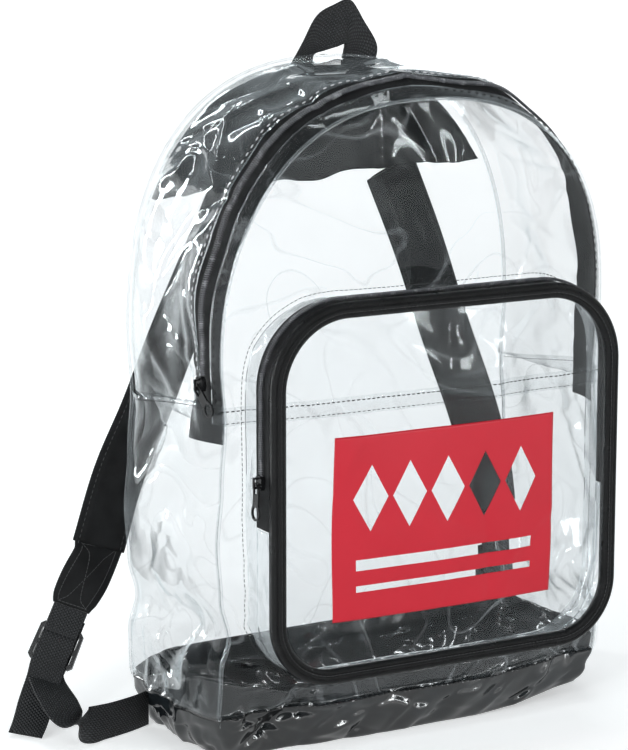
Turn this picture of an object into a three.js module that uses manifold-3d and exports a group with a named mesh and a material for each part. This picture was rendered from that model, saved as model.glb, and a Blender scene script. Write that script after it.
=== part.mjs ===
// A clear vinyl daypack: an arched body of clear panels on a black base, a rounded front pocket with a bound
// rim, two coil zippers, a black yoke with a grab handle, and two shoulder straps with ladder-lock buckles.
// Millimetres, +Z up. The front panel faces -Y, and the origin is the middle of the base on the floor.
import * as THREE from "three";
import { mergeVertices } from "three/addons/utils/BufferGeometryUtils.js";
import Module from "manifold-3d";

const wasm = await Module();
wasm.setup();

// Body
const bodyWidth = 316; // across the gusset where it is fullest
const bodyDepth = 128; // from the front seam to the back seam
const bodyHeight = 452; // floor to the crown of the arch
const springHeight = 270; // where the sides start to arch over
const archPower = 2.4; // 2 is an ellipse, more is squarer
const frontSeamDepth = 60; // the front seam, ahead of the middle
const frontInset = 8; // the gusset rolls in to the front seam
const frontDrop = 16; // the front seam's crown lies this much lower
const backInset = 4;
const frontBulge = 9;
const backBulge = 5;
const browReach = 13; // the crown leans forward over the front panel
const footTuck = 12; // the front pulls in where it meets the floor
const footHeight = 70; // height over which it does
const cornerLift = 15; // the right end of the base curls up off the floor
const cornerLiftStart = 40;
const cornerLiftHeight = 90;

// Sheets and seams
const vinyl = 1.2;
const gap = 0.3; // between pieces that are sewn together
const seamGap = 0.6; // at seams that curve
const stripGap = 0.8; // between the pocket and the front panels
const seamLip = 2.5; // the sewn edge that stands proud
const beltHeight = 243; // top edge of the lower panels
const beltOverlap = 13;
const layer = vinyl + gap;

// Base
const baseWall = 2;
const baseFloor = 2;
const baseHeight = 40;

// Main zipper
const tapeThickness = 0.9;
const tapeTail = 13; // tape past the sewn end of the zipper
const coilWidth = 5.6;
const coilHeight = 2.4;
const tapeFrom = 0.02; // the strips and the tape, as shares of the body's depth
const frontStripTo = 0.085;
const coilAt = 0.148;
const rearStripFrom = 0.21;
const tapeTo = 0.27;
const mainSliderRise = 13; // above the belt's seam
const mainSliderHeight = beltHeight + mainSliderRise;
const mainPullSwivel = 45; // the tab lies turned towards the front, in degrees
const mainPullLift = 5; // and its ring stands off the gusset
const pocketPullLift = 2;

// Pocket
const pocketWidth = 268;
const pocketTall = 254;
const pocketShift = 2;
const pocketFoot = 58; // floor to the rim's lower edge
const pocketRim = 100; // the rim, ahead of the middle
const pocketCornerTop = 56;
const pocketCornerFoot = 45;
const pocketBulge = 9;
const bindingWidth = 9.5;
const bindingFront = 4;
const bindingBack = 3;
const pocketTapeWidth = 18;
const pocketZipEnd = 165; // both ends of the pocket's zipper, above the floor
const pocketSliderHeight = 196;

// Print on the pocket
const printWidth = 169;
const printTall = 125;
const printFoot = 100;
const printShift = -4;
const printFilm = 0.5;
const printCut = 30; // reach of the cuts through the film, each way

// Yoke and handle
const yokeDrop = 83;
const yokeTilt = 16;
const yokeThickness = 1.4;
const yokeMargin = 4;
const handleThickness = 2.6;
const handleSpan = 72;
const handleRise = 45;
const handleShift = 9;

// Straps
const strapWidth = 42;
const strapThickness = 5;
const webbingWidth = 25;
const webbingThickness = 1.4;
const tabCloth = 2.6;
const lockWidth = 33;
const lockThickness = 3.4;
const lockBar = 4;
const lockRail = 3; // each side of the slots
const lockUpperSlot = 9;
const lockLowerSlot = 7;
const lockRound = 2.5;
const stubLength = 14; // webbing between the strap's end and the buckle
const stubReturn = 12; // where it is folded back and sewn

// Zipper slider and tab
const sliderLength = 9.5;
const sliderWidth = 7.6;
const sliderThickness = 3.2;
const bridgeHeight = 4;
const bridgeWire = 1.3;
const bridgeLength = 7.6;
const tabLength = 25;
const tabWidth = 7;
const tabThickness = 1.3;
const tabSlotWidth = 4.6;
const tabSlotFoot = 4.4; // the slot, past the bridge's leg
const tabSlotHead = 1.3; // and before it
const tabHead = 2.9;
const ringOuter = 5.3;
const ringInner = 3.9;
const hingeRise = 1.3; // tab's axis above the slider

// Swell and pinch of the sides with height, in shares of the body's height and width
const sideWaves = [
  { up: 0, out: -0.042 },
  { up: 0.033, out: -0.0275 },
  { up: 0.077, out: -0.006 },
  { up: 0.14, out: -0.007 },
  { up: 0.19, out: -0.026 },
  { up: 0.25, out: -0.008 },
  { up: 0.33, out: -0.001 },
  { up: 0.42, out: -0.011 },
  { up: 0.51, out: -0.02 },
  { up: 0.6, out: -0.012 },
];

// Folds pressed into the front, in shares of the half width and the height; proud is a share of the depth
const frontFolds = [
  { acrossA: -0.95, upA: 0.26, acrossB: -0.6, upB: 0.12, wide: 0.035, proud: 0.03 },
  { acrossA: -0.95, upA: 0.15, acrossB: -0.6, upB: 0.03, wide: 0.035, proud: -0.035 },
  { acrossA: 0.75, upA: 0.12, acrossB: 0.85, upB: 0.02, wide: 0.035, proud: -0.03 },
  { acrossA: -0.6, upA: 0.83, acrossB: -0.35, upB: 0.76, wide: 0.05, proud: -0.02 },
];

// Folds in the sides, in shares of the depth and the height
const sideFolds = [
  { depthA: 0.9, upA: 0.36, depthB: 0.55, upB: 0.52, wide: 0.035, proud: -0.03 },
  { depthA: 0.2, upA: 0.24, depthB: 0.6, upB: 0.1, wide: 0.035, proud: -0.035 },
  { depthA: 0.45, upA: 0.6, depthB: 0.6, upB: 0.8, wide: 0.05, proud: -0.03 },
];

// Shoulder straps. Each row is the middle of the strap, across, behind and up in shares of the body's width,
// depth and height, and the way across the strap.
const leftStrap = [
  { across: -0.19, behind: 0.609, up: 0.823, sideX: 1, sideY: 0, sideZ: -0.25 },
  { across: -0.266, behind: 0.645, up: 0.704, sideX: 0.92, sideY: 0.05, sideZ: -0.4 },
  { across: -0.339, behind: 0.703, up: 0.584, sideX: 0.91, sideY: 0.1, sideZ: -0.4 },
  { across: -0.408, behind: 0.719, up: 0.469, sideX: 0.9, sideY: 0.1, sideZ: -0.42 },
  { across: -0.478, behind: 0.719, up: 0.367, sideX: 0.9, sideY: 0.05, sideZ: -0.45 },
  { across: -0.535, behind: 0.688, up: 0.261, sideX: 0.9, sideY: 0, sideZ: -0.4 },
];
const rightStrap = [
  { across: 0.19, behind: 0.609, up: 0.823, sideX: 1, sideY: 0, sideZ: 0.25 },
  { across: 0.272, behind: 0.637, up: 0.697, sideX: 0.92, sideY: 0, sideZ: 0.4 },
  { across: 0.354, behind: 0.672, up: 0.553, sideX: 0.92, sideY: 0, sideZ: 0.4 },
  { across: 0.437, behind: 0.68, up: 0.409, sideX: 0.95, sideY: 0, sideZ: 0.3 },
  { across: 0.481, behind: 0.688, up: 0.31, sideX: 0.98, sideY: 0, sideZ: 0.2 },
  { across: 0.497, behind: 0.688, up: 0.239, sideX: 1, sideY: 0, sideZ: 0.05 },
];

// The buckles: the middle of the frame, the way up it towards the shoulder and the way across it
const leftLock = {
  across: -0.658, behind: 0.59, up: 0.1217,
  upX: 0.53, upY: 0.24, upZ: 0.81,
  sideX: 0.78, sideY: -0.6, sideZ: -0.2,
};
const rightLock = {
  across: 0.509, behind: 0.703, up: 0.1239,
  upX: -0.05, upY: 0, upZ: 1,
  sideX: 1, sideY: 0.05, sideZ: 0,
};

// Webbing from the body's lower corner to the buckle, and its free tail from the buckle to the floor
const leftRiser = [
  { across: -0.497, behind: 0.281, up: 0.0301, sideX: 0, sideY: 0, sideZ: 1 },
  { across: -0.544, behind: 0.227, up: 0.0301, sideX: 0, sideY: 0, sideZ: 1 },
  { across: -0.62, behind: 0.172, up: 0.0301, sideX: -0.2, sideY: 0, sideZ: 0.98 },
  { across: -0.671, behind: 0.148, up: 0.0321, sideX: -0.75, sideY: 0.15, sideZ: 0.65 },
  { across: -0.696, behind: 0.195, up: 0.0398, sideX: -0.98, sideY: 0.2, sideZ: 0.2 },
  { across: -0.703, behind: 0.312, up: 0.0575, sideX: -0.9, sideY: 0.4, sideZ: 0 },
];
const leftTail = [
  { across: -0.699, behind: 0.523, up: 0.0796, sideX: -0.8, sideY: 0.58, sideZ: 0.1 },
  { across: -0.728, behind: 0.484, up: 0.0442, sideX: -0.85, sideY: 0.52, sideZ: 0.03 },
  { across: -0.75, behind: 0.438, up: 0.021, sideX: -0.8, sideY: 0.6, sideZ: 0 },
  { across: -0.769, behind: 0.398, up: 0.0066, sideX: -0.75, sideY: 0.66, sideZ: 0 },
];
const rightRiser = [
  { across: 0.506, behind: 0.359, up: 0.0619, sideX: 0, sideY: 0, sideZ: 1 },
  { across: 0.538, behind: 0.445, up: 0.0487, sideX: -0.2, sideY: -0.3, sideZ: 0.95 },
  { across: 0.551, behind: 0.547, up: 0.0398, sideX: -0.8, sideY: -0.4, sideZ: 0.4 },
  { across: 0.535, behind: 0.625, up: 0.0487, sideX: -1, sideY: -0.1, sideZ: 0.1 },
];
const rightTail = [
  { across: 0.514, behind: 0.734, up: 0.0619, sideX: -1, sideY: 0, sideZ: 0 },
  { across: 0.519, behind: 0.758, up: 0.0265, sideX: -1, sideY: 0, sideZ: 0 },
  { across: 0.522, behind: 0.812, up: 0.0058, sideX: -1, sideY: 0.1, sideZ: 0 },
  { across: 0.525, behind: 0.906, up: 0.0027, sideX: -1, sideY: 0.1, sideZ: 0 },
];

const clear = { color: 0xe4eaee, roughness: 0.12, metalness: 0, transparent: true, opacity: 0.35 };
const black = { color: 0x101214, roughness: 0.75, metalness: 0 };
const gloss = { color: 0x0c0e10, roughness: 0.25, metalness: 0 };
const red = { color: 0xc02c3a, roughness: 0.4, metalness: 0 };

const daypack = new THREE.Group();

function add(name, geometry, look, parent = daypack) {
  const mesh = new THREE.Mesh(geometry, new THREE.MeshStandardMaterial(look));
  mesh.name = name;
  parent.add(mesh);
  return mesh;
}

const clamp = (value, low, high) => Math.min(high, Math.max(low, value));
const smooth = (value) => {
  const k = clamp(value, 0, 1);
  return k * k * (3 - 2 * k);
};
const mix = (from, to, share) => from + (to - from) * share;
const steps = (from, to, count) => Array.from({ length: count + 1 }, (_, i) => mix(from, to, i / count));

// A value from a table of rows, eased between them
function readTable(rows, key, value, at) {
  const i = rows.findIndex((row) => row[key] >= at);
  if (i === 0) return rows[0][value];
  if (i < 0) return rows[rows.length - 1][value];
  const [low, high] = [rows[i - 1], rows[i]];
  return mix(low[value], high[value], smooth((at - low[key]) / (high[key] - low[key])));
}

// How far a fold lifts the sheet at a point, from the point's distance to the fold's line
function foldAt(px, py, ax, ay, bx, by, wide, proud) {
  const [dx, dy] = [bx - ax, by - ay];
  const along = clamp(((px - ax) * dx + (py - ay) * dy) / (dx * dx + dy * dy), 0, 1);
  const away = Math.hypot(px - ax - along * dx, py - ay - along * dy);
  return proud * Math.exp(-((away / wide) ** 2)) * Math.sin(Math.PI * mix(0.15, 0.85, along));
}

// Solids from manifold-3d, and back
function solidOf(geometry) {
  const g = geometry.clone();
  g.deleteAttribute("normal");
  g.deleteAttribute("uv");
  const merged = mergeVertices(g, 1e-4);
  const mesh = new wasm.Mesh({
    numProp: 3,
    vertProperties: new Float32Array(merged.attributes.position.array),
    triVerts: new Uint32Array(merged.index.array),
  });
  return new wasm.Manifold(mesh);
}

function geometryOf(solid) {
  const mesh = solid.getMesh();
  const geometry = new THREE.BufferGeometry();
  geometry.setAttribute("position", new THREE.BufferAttribute(new Float32Array(mesh.vertProperties), 3));
  geometry.setIndex(new THREE.BufferAttribute(new Uint32Array(mesh.triVerts), 1));
  geometry.computeVertexNormals();
  return geometry;
}

// A solid from points and triangles, turned right side out
function geometryFrom(points, triangles) {
  const geometry = new THREE.BufferGeometry();
  const places = points.flatMap((p) => [p.x, p.y, p.z]);
  geometry.setAttribute("position", new THREE.Float32BufferAttribute(places, 3));
  geometry.setIndex(triangles.flat());
  const merged = mergeVertices(geometry, 1e-4);
  if (volumeOf(merged) < 0) merged.setIndex([...merged.index.array].reverse());
  merged.computeVertexNormals();
  return merged;
}

// A closed sheet between two grids of points. at(u, v, side) gives the inner point for side 0, the outer for 1.
// The grid's v direction, turned by the right hand from u, faces outwards.
function sheet(us, vs, at, closedU = false) {
  const columns = vs.length;
  const points = [0, 1].flatMap((side) => us.flatMap((u) => vs.map((v) => at(u, v, side))));
  const id = (i, j, side) => (side * us.length + (i % us.length)) * columns + j;
  const triangles = [];
  const quad = (a, b, c, d) => triangles.push([a, b, c], [a, c, d]);
  const last = closedU ? us.length : us.length - 1;
  for (let i = 0; i < last; i++) {
    for (let j = 0; j < columns - 1; j++) {
      quad(id(i, j, 1), id(i + 1, j, 1), id(i + 1, j + 1, 1), id(i, j + 1, 1));
      quad(id(i, j, 0), id(i, j + 1, 0), id(i + 1, j + 1, 0), id(i + 1, j, 0));
    }
    quad(id(i, 0, 0), id(i + 1, 0, 0), id(i + 1, 0, 1), id(i, 0, 1));
    quad(id(i, columns - 1, 1), id(i + 1, columns - 1, 1), id(i + 1, columns - 1, 0), id(i, columns - 1, 0));
  }
  if (!closedU) {
    const end = us.length - 1;
    for (let j = 0; j < columns - 1; j++) {
      quad(id(0, j, 0), id(0, j, 1), id(0, j + 1, 1), id(0, j + 1, 0));
      quad(id(end, j, 1), id(end, j, 0), id(end, j + 1, 0), id(end, j + 1, 1));
    }
  }
  return geometryFrom(points, dropFlat(points, triangles));
}

// Leaves out triangles that have two corners in one place, as at the crown of the arch
function dropFlat(points, triangles) {
  const same = (a, b) => points[a].distanceTo(points[b]) < 1e-3;
  return triangles.filter(([a, b, c]) => !same(a, b) && !same(b, c) && !same(c, a));
}

// A strip of a given section swept through stations, each with a centre, a sideways and a facing direction
function sweep(stations, sectionAt, closed = false) {
  const rings = stations.map((s, i) =>
    sectionAt(i / (stations.length - 1)).map(([a, b]) =>
      s.centre.clone().addScaledVector(s.side, a).addScaledVector(s.face, b)));
  const n = rings[0].length;
  const count = rings.length;
  const points = rings.flat();
  const triangles = [];
  for (let i = 0; i < (closed ? count : count - 1); i++) {
    for (let k = 0; k < n; k++) {
      const [a, b] = [i * n + k, i * n + ((k + 1) % n)];
      const [c, d] = [((i + 1) % count) * n + ((k + 1) % n), ((i + 1) % count) * n + k];
      triangles.push([a, b, c], [a, c, d]);
    }
  }
  if (!closed) {
    for (let k = 1; k < n - 1; k++) {
      triangles.push([0, k + 1, k]);
      triangles.push([(count - 1) * n, (count - 1) * n + k, (count - 1) * n + k + 1]);
    }
  }
  return geometryFrom(points, triangles);
}

function volumeOf(geometry) {
  const [p, index] = [geometry.attributes.position, geometry.index.array];
  const corner = (i) => new THREE.Vector3().fromBufferAttribute(p, index[i]);
  let sum = 0;
  for (let i = 0; i < index.length; i += 3) sum += corner(i).dot(corner(i + 1).cross(corner(i + 2)));
  return sum / 6;
}

const flatSection = (width, thickness) => [
  [-width / 2, -thickness / 2],
  [width / 2, -thickness / 2],
  [width / 2, thickness / 2],
  [-width / 2, thickness / 2],
];

const padSection = (width, thickness) => [
  [-width / 2, 0],
  [-width / 2 + thickness * 0.45, -thickness / 2],
  [width / 2 - thickness * 0.45, -thickness / 2],
  [width / 2, 0],
  [width / 2 - thickness * 0.45, thickness / 2],
  [-width / 2 + thickness * 0.45, thickness / 2],
];

// Stations along a smooth curve through rows that hold a point and a sideways direction
function stationsThrough(rows, count) {
  const path = new THREE.CatmullRomCurve3(rows.map((row) => row.at), false, "centripetal");
  const turn = new THREE.CatmullRomCurve3(rows.map((row) => row.side), false, "catmullrom", 0.3);
  return steps(0, 1, count).map((k) => {
    const along = path.getTangent(k);
    const side = turn.getPoint(k);
    side.addScaledVector(along, -side.dot(along)).normalize();
    return { centre: path.getPoint(k), side, face: new THREE.Vector3().crossVectors(along, side) };
  });
}

// The body's surface. path runs from -2 at the floor on the left over -1, 0 and 1 on the arch to 2 on the right,
// and depth from 0 at the front seam to 1 at the back seam.
const heightOfPath = (path) => springHeight * (2 - Math.abs(path));
const pathOfHeight = (height) => 2 - height / springHeight;

const frontSeam = (z) =>
  -frontSeamDepth - browReach * smooth((z - springHeight) / (bodyHeight * 0.31)) +
  footTuck * Math.max(0, 1 - z / footHeight) ** 2;
const backSeam = (z) => bodyDepth - frontSeamDepth - footTuck * 0.6 * Math.max(0, 1 - z / footHeight) ** 2;

function lift(x, z) {
  const share = clamp((x - cornerLiftStart) / (bodyWidth / 2 - cornerLiftStart), 0, 1.05);
  return cornerLift * share ** 1.5 * Math.max(0, 1 - z / cornerLiftHeight) ** 2;
}

const rollIn = (depth) => Math.max(0, 1 - depth / 0.3) ** 2;
const rollOut = (depth) => Math.max(0, (depth - 0.8) / 0.2) ** 2;

function halfWidth(z, depth) {
  const wave = bodyWidth * readTable(sideWaves, "up", "out", z / bodyHeight);
  return bodyWidth / 2 - frontInset * rollIn(depth) - backInset * rollOut(depth) + wave;
}

// The outline at one depth, before the base's lift: across and up, for a place along the path
function outline(path, depth) {
  const hand = Math.sign(path) || 1;
  const away = Math.abs(path);
  if (away > 1) return { x: hand * halfWidth(heightOfPath(path), depth), z: heightOfPath(path) };
  const angle = ((1 - away) * Math.PI) / 2;
  const rise = bodyHeight - frontDrop * rollIn(depth) - springHeight;
  return {
    x: hand * halfWidth(springHeight, depth) * Math.cos(angle) ** (2 / archPower),
    z: springHeight + rise * Math.sin(angle) ** (2 / archPower),
  };
}

function sideFold(depth, z) {
  return sideFolds.reduce((sum, f) => sum + foldAt(
    depth * bodyDepth, z, f.depthA * bodyDepth, f.upA * bodyHeight, f.depthB * bodyDepth, f.upB * bodyHeight,
    f.wide * bodyHeight, f.proud * bodyDepth), 0) * smooth(depth * 6) * smooth((1 - depth) * 6);
}

function gussetBare(path, depth) {
  const { x, z } = outline(path, depth);
  return new THREE.Vector3(x, mix(frontSeam(z), backSeam(z), depth), z + lift(x, z));
}

// A point of the gusset, moved outwards along the surface's normal
function gussetAt(path, depth, out) {
  const step = 0.004;
  const along = gussetBare(path + step, depth).sub(gussetBare(path - step, depth));
  const back = gussetBare(path, Math.min(1, depth + step)).sub(gussetBare(path, Math.max(0, depth - step)));
  const normal = new THREE.Vector3().crossVectors(along, back).normalize();
  const { z } = outline(path, depth);
  return gussetBare(path, depth).addScaledVector(normal, out + sideFold(depth, z));
}

// The edge of a panel that caps the gusset: the seam's outline, moved outwards by reach
function panelEdge(path, depth, reach) {
  const step = 0.01;
  const low = outline(path - step, depth);
  const high = outline(path + step, depth);
  const long = Math.hypot(high.x - low.x, high.z - low.z);
  const { x, z } = outline(path, depth);
  return { x: x - (reach * (high.z - low.z)) / long, z: z + (reach * (high.x - low.x)) / long };
}

// The front panel's inner face and the back panel's inner face, as depths over the face
function widthAt(z, depth) {
  if (z <= springHeight) return halfWidth(z, depth);
  const rise = bodyHeight - frontDrop * rollIn(depth) - springHeight;
  const up = clamp((z - springHeight) / rise, 0, 1);
  return halfWidth(springHeight, depth) * (1 - up ** archPower) ** (1 / archPower);
}

function crownFade(z, depth) {
  const rise = bodyHeight - frontDrop * rollIn(depth) - springHeight;
  return 1 - clamp((z - springHeight) / rise, 0, 1) ** 3;
}

const footFade = (z) => mix(0.4, 1, smooth(z / (bodyHeight * 0.25)));

function frontFace(x, z) {
  const share = clamp(Math.abs(x) / Math.max(1, widthAt(z, 0)), 0, 1);
  const swell = frontBulge * (1 - share ** 2) * crownFade(z, 0) * footFade(z);
  const half = bodyWidth / 2;
  const folds = frontFolds.reduce((sum, f) => sum + foldAt(
    x, z, f.acrossA * half, f.upA * bodyHeight, f.acrossB * half, f.upB * bodyHeight,
    f.wide * bodyHeight, f.proud * bodyDepth), 0);
  return frontSeam(z) - swell - folds * smooth((1 - share) * 8);
}

function backFace(x, z) {
  const share = clamp(Math.abs(x) / Math.max(1, widthAt(z, 1)), 0, 1);
  return backSeam(z) + backBulge * (1 - share ** 2) * crownFade(z, 1) * footFade(z);
}

// Rows and columns that every layer shares, so that layers that lie on each other have the same facets
const belowBelt = [0.01, 0.033, 0.066, 0.0885, 0.12, 0.155, 0.19, 0.225, 0.27, 0.332, 0.4];
const sideHeights = [
  ...belowBelt.map((share) => share * bodyHeight),
  beltHeight - beltOverlap - tapeTail,
  beltHeight - beltOverlap,
  beltHeight,
];
const depthColumns = [0, tapeFrom, frontStripTo, coilAt, rearStripFrom, tapeTo, 0.4, 0.55, 0.7, 0.85, 1];
const across = [-1, -0.9, -0.77, -0.6, -0.42, -0.21, 0, 0.21, 0.42, 0.6, 0.77, 0.9, 1];
const archPaths = steps(-1, 1, 16);

const within = (list, low, high) => list.filter((value) => value > low - 1e-6 && value < high + 1e-6);
const uniqueSorted = (list) => [...new Set(list)].sort((a, b) => a - b);

function archWithLegs(lowest) {
  const legs = [...sideHeights.filter((z) => z > lowest - 1e-6), mainSliderHeight].map(pathOfHeight);
  return uniqueSorted([...legs.map((p) => -p), ...archPaths, ...legs]);
}

// A band of the gusset over the arch
function gussetBand(lowest, depthFrom, depthTo, outFrom, outTo, frontTrim = 0, backTrim = 0) {
  const paths = archWithLegs(lowest);
  const depths = within(depthColumns, depthFrom, depthTo);
  return sheet(paths, depths, (path, depth, side) => {
    const point = gussetAt(path, depth, side ? outTo : outFrom);
    if (depth === 0) point.y = frontSeam(outline(path, 0).z) + frontTrim;
    if (depth === 1) point.y = backSeam(outline(path, 1).z) - backTrim;
    return point;
  });
}

function sidePanel(hand) {
  const paths = sideHeights.map((z) => hand * pathOfHeight(z)).sort((a, b) => a - b);
  return sheet(paths, depthColumns, (path, depth, side) => {
    const point = gussetAt(path, depth, side ? layer + vinyl : layer);
    const height = heightOfPath(path);
    const upper = height > beltHeight - beltOverlap - 1;
    if (depth === 0) point.y = frontSeam(height) + (upper ? gap : 2 * seamGap - layer);
    if (depth === 1) point.y = backSeam(height) - seamGap;
    return point;
  });
}

// A panel that caps the gusset, from rows given as places along the path, with thickness in depth. Its inner
// columns stand on the gusset's outline and only its edge reaches past it, so that layers share their facets.
function capPanel(paths, depth, reach, face, inner, outer) {
  return sheet(paths, across, (path, share, side) => {
    const rim = Math.abs(share) === 1 || path < 1;
    const { x: half, z } = rim ? panelEdge(path, depth, reach) : outline(path, depth);
    const x = half * share;
    return new THREE.Vector3(x, face(x, z) + (side ? outer : inner), z + lift(x, z));
  });
}

function buildBody() {
  const lowerPaths = sideHeights.map(pathOfHeight).reverse();
  const upperPaths = uniqueSorted([
    ...archPaths.filter((p) => p >= 0),
    ...within(sideHeights, beltHeight - beltOverlap, beltHeight).map(pathOfHeight),
  ]);
  const backPaths = uniqueSorted([...archPaths.filter((p) => p >= 0), ...lowerPaths]);
  add("front_panel_upper", capPanel(upperPaths, 0, seamLip, frontFace, 0, -vinyl), clear);
  add("front_panel_lower", capPanel(lowerPaths, 0, seamLip + layer, frontFace, -layer, -layer - vinyl), clear);
  add("back_panel", capPanel(backPaths, 1, seamLip + layer, backFace, 0, vinyl), clear);
  const bandFoot = beltHeight - beltOverlap;
  add("gusset_front_strip", gussetBand(bandFoot, 0, frontStripTo, 0, vinyl, gap), clear);
  add("gusset_rear_strip", gussetBand(bandFoot, rearStripFrom, 1, 0, vinyl, 0, gap), clear);
  add("main_zip_tape", gussetBand(bandFoot - tapeTail, tapeFrom, tapeTo, -gap - tapeThickness, -gap), black);
  add("side_panel_left", sidePanel(-1), clear);
  add("side_panel_right", sidePanel(1), clear);
}

// The bead of closed teeth that runs along the tape
function beadAlong(stations) {
  const half = coilWidth / 2;
  const shoulder = coilHeight * 0.75;
  const bead = [[-half, 0], [half, 0], [half * 0.75, shoulder], [0, coilHeight], [-half * 0.75, shoulder]];
  return sweep(stations, () => bead);
}

// The frame of the gusset at one place: its outward normal, the way along and the way to the front
function gussetFrame(path, depth) {
  const centre = gussetAt(path, depth, 0);
  const up = gussetAt(path + 0.01, depth, 0).sub(gussetAt(path - 0.01, depth, 0)).normalize();
  const face = gussetAt(path, depth, 1).sub(centre).normalize();
  return { centre, up, face, side: new THREE.Vector3().crossVectors(up, face) };
}

function buildMainZip() {
  const start = -pathOfHeight(mainSliderHeight + sliderLength / 2 + gap);
  const end = pathOfHeight(beltHeight + 2 * gap);
  const paths = uniqueSorted([start, ...archPaths.filter((path) => path > start), end]);
  const stations = paths.map((path) => {
    const frame = gussetFrame(path, coilAt);
    return { ...frame, centre: frame.centre.addScaledVector(frame.face, 0.05) };
  });
  add("main_zip_coil", beadAlong(stations), gloss);
  const seat = gussetFrame(-pathOfHeight(mainSliderHeight), coilAt);
  addSlider("main_zip", seat.centre, seat.face, seat.up, mainPullSwivel, mainPullLift);
}

// Slider body with its bridge, lying on z = 0, along y, and the tab that hangs from the bridge along -y
function sliderSolid() {
  const plan = new THREE.Shape();
  const [w, l] = [sliderWidth / 2, sliderLength / 2];
  plan.moveTo(-w * 0.72, -l);
  plan.lineTo(w * 0.72, -l);
  plan.lineTo(w, -l * 0.3);
  plan.lineTo(w, l * 0.6);
  plan.lineTo(w * 0.6, l);
  plan.lineTo(-w * 0.6, l);
  plan.lineTo(-w, l * 0.6);
  plan.lineTo(-w, -l * 0.3);
  const body = new THREE.ExtrudeGeometry(plan, { depth: sliderThickness, bevelEnabled: false });
  const leg = new THREE.BoxGeometry(bridgeWire, bridgeWire, bridgeHeight);
  const top = new THREE.BoxGeometry(bridgeWire, bridgeLength, bridgeWire);
  const legY = (bridgeLength - bridgeWire) / 2;
  const legZ = sliderThickness + bridgeHeight / 2 - 0.1;
  return [
    leg.clone().translate(0, legY, legZ),
    leg.clone().translate(0, -legY, legZ),
    top.translate(0, 0, sliderThickness + bridgeHeight - bridgeWire / 2),
  ].reduce((sum, bar) => sum.add(solidOf(bar)), solidOf(body));
}

// The tab: a flat tongue with a slot that goes over the bridge's leg, at the origin, and a ring at its free end.
// It hangs along -y.
function tabGeometry() {
  const plan = new THREE.Shape();
  const [w, reach] = [tabWidth / 2, tabLength - tabHead - ringOuter];
  plan.moveTo(-w * 0.8, tabHead);
  plan.lineTo(-w, tabSlotHead - 0.5);
  plan.lineTo(-w, -reach + ringOuter);
  plan.absarc(0, -reach, ringOuter, Math.PI * 0.85, Math.PI * 2.15, false);
  plan.lineTo(w, -reach + ringOuter);
  plan.lineTo(w, tabSlotHead - 0.5);
  plan.lineTo(w * 0.8, tabHead);
  const slotHalf = tabSlotWidth / 2;
  const slot = new THREE.Path([
    new THREE.Vector2(-slotHalf, tabSlotHead),
    new THREE.Vector2(-slotHalf, -tabSlotFoot),
    new THREE.Vector2(slotHalf, -tabSlotFoot),
    new THREE.Vector2(slotHalf, tabSlotHead),
  ]);
  const turns = steps(0, 2 * Math.PI, 14).slice(0, -1);
  const ring = new THREE.Path(turns.map((a) => new THREE.Vector2(
    ringInner * Math.cos(a), ringInner * Math.sin(a) - reach)));
  plan.holes.push(slot, ring);
  const options = { depth: tabThickness, bevelEnabled: false, curveSegments: 7 };
  return new THREE.ExtrudeGeometry(plan, options).translate(0, 0, -tabThickness / 2);
}

// Places a slider on its zipper, facing outwards, and its tab on the bridge. The tab is turned by swivel about the
// bridge's leg and stands off by lift, about the middle of the bar that holds it under the bridge.
function addSlider(name, centre, face, up, swivel, lift) {
  const side = new THREE.Vector3().crossVectors(up, face);
  const seat = new THREE.Group();
  seat.matrix.makeBasis(side, up, face);
  seat.matrix.setPosition(centre.clone().addScaledVector(face, 0.1));
  seat.matrix.decompose(seat.position, seat.quaternion, seat.scale);
  daypack.add(seat);
  add(name + "_slider", geometryOf(sliderSolid()), gloss, seat);
  const turn = new THREE.Group();
  turn.position.set(0, -(bridgeLength - bridgeWire) / 2, sliderThickness + hingeRise);
  turn.rotation.z = THREE.MathUtils.degToRad(swivel);
  seat.add(turn);
  const hinge = new THREE.Group();
  const bar = (tabHead + tabSlotHead) / 2;
  hinge.position.y = bar;
  hinge.rotation.x = -THREE.MathUtils.degToRad(lift);
  turn.add(hinge);
  add(name + "_pull", tabGeometry().translate(0, -bar, 0), gloss, hinge);
}

// A closed ring round the body at one height: across the front, up one side, across the back and down the other
function bodyRing(z, frontOut, sideOut, backOut) {
  const path = pathOfHeight(z);
  const cornerShare = 0.5;
  const front = across.map((share) => {
    const x = share * (halfWidth(z, 0) + (Math.abs(share) === 1 ? sideOut * cornerShare : 0));
    return new THREE.Vector3(x, frontFace(x, z) - frontOut, z + lift(x, z));
  });
  const back = across.map((share) => {
    const x = -share * (halfWidth(z, 1) + (Math.abs(share) === 1 ? sideOut * cornerShare : 0));
    return new THREE.Vector3(x, backFace(x, z) + backOut, z + lift(x, z));
  });
  const middle = depthColumns.slice(1, -1);
  const right = middle.map((depth) => gussetAt(path, depth, sideOut));
  const left = [...middle].reverse().map((depth) => gussetAt(-path, depth, sideOut));
  return [...front, ...right, ...back, ...left];
}

const towards = (ring, centre, share, z) => ring.map((p) => {
  const point = p.clone().lerp(centre, share);
  point.z = z + lift(point.x, z);
  return point;
});

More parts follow.
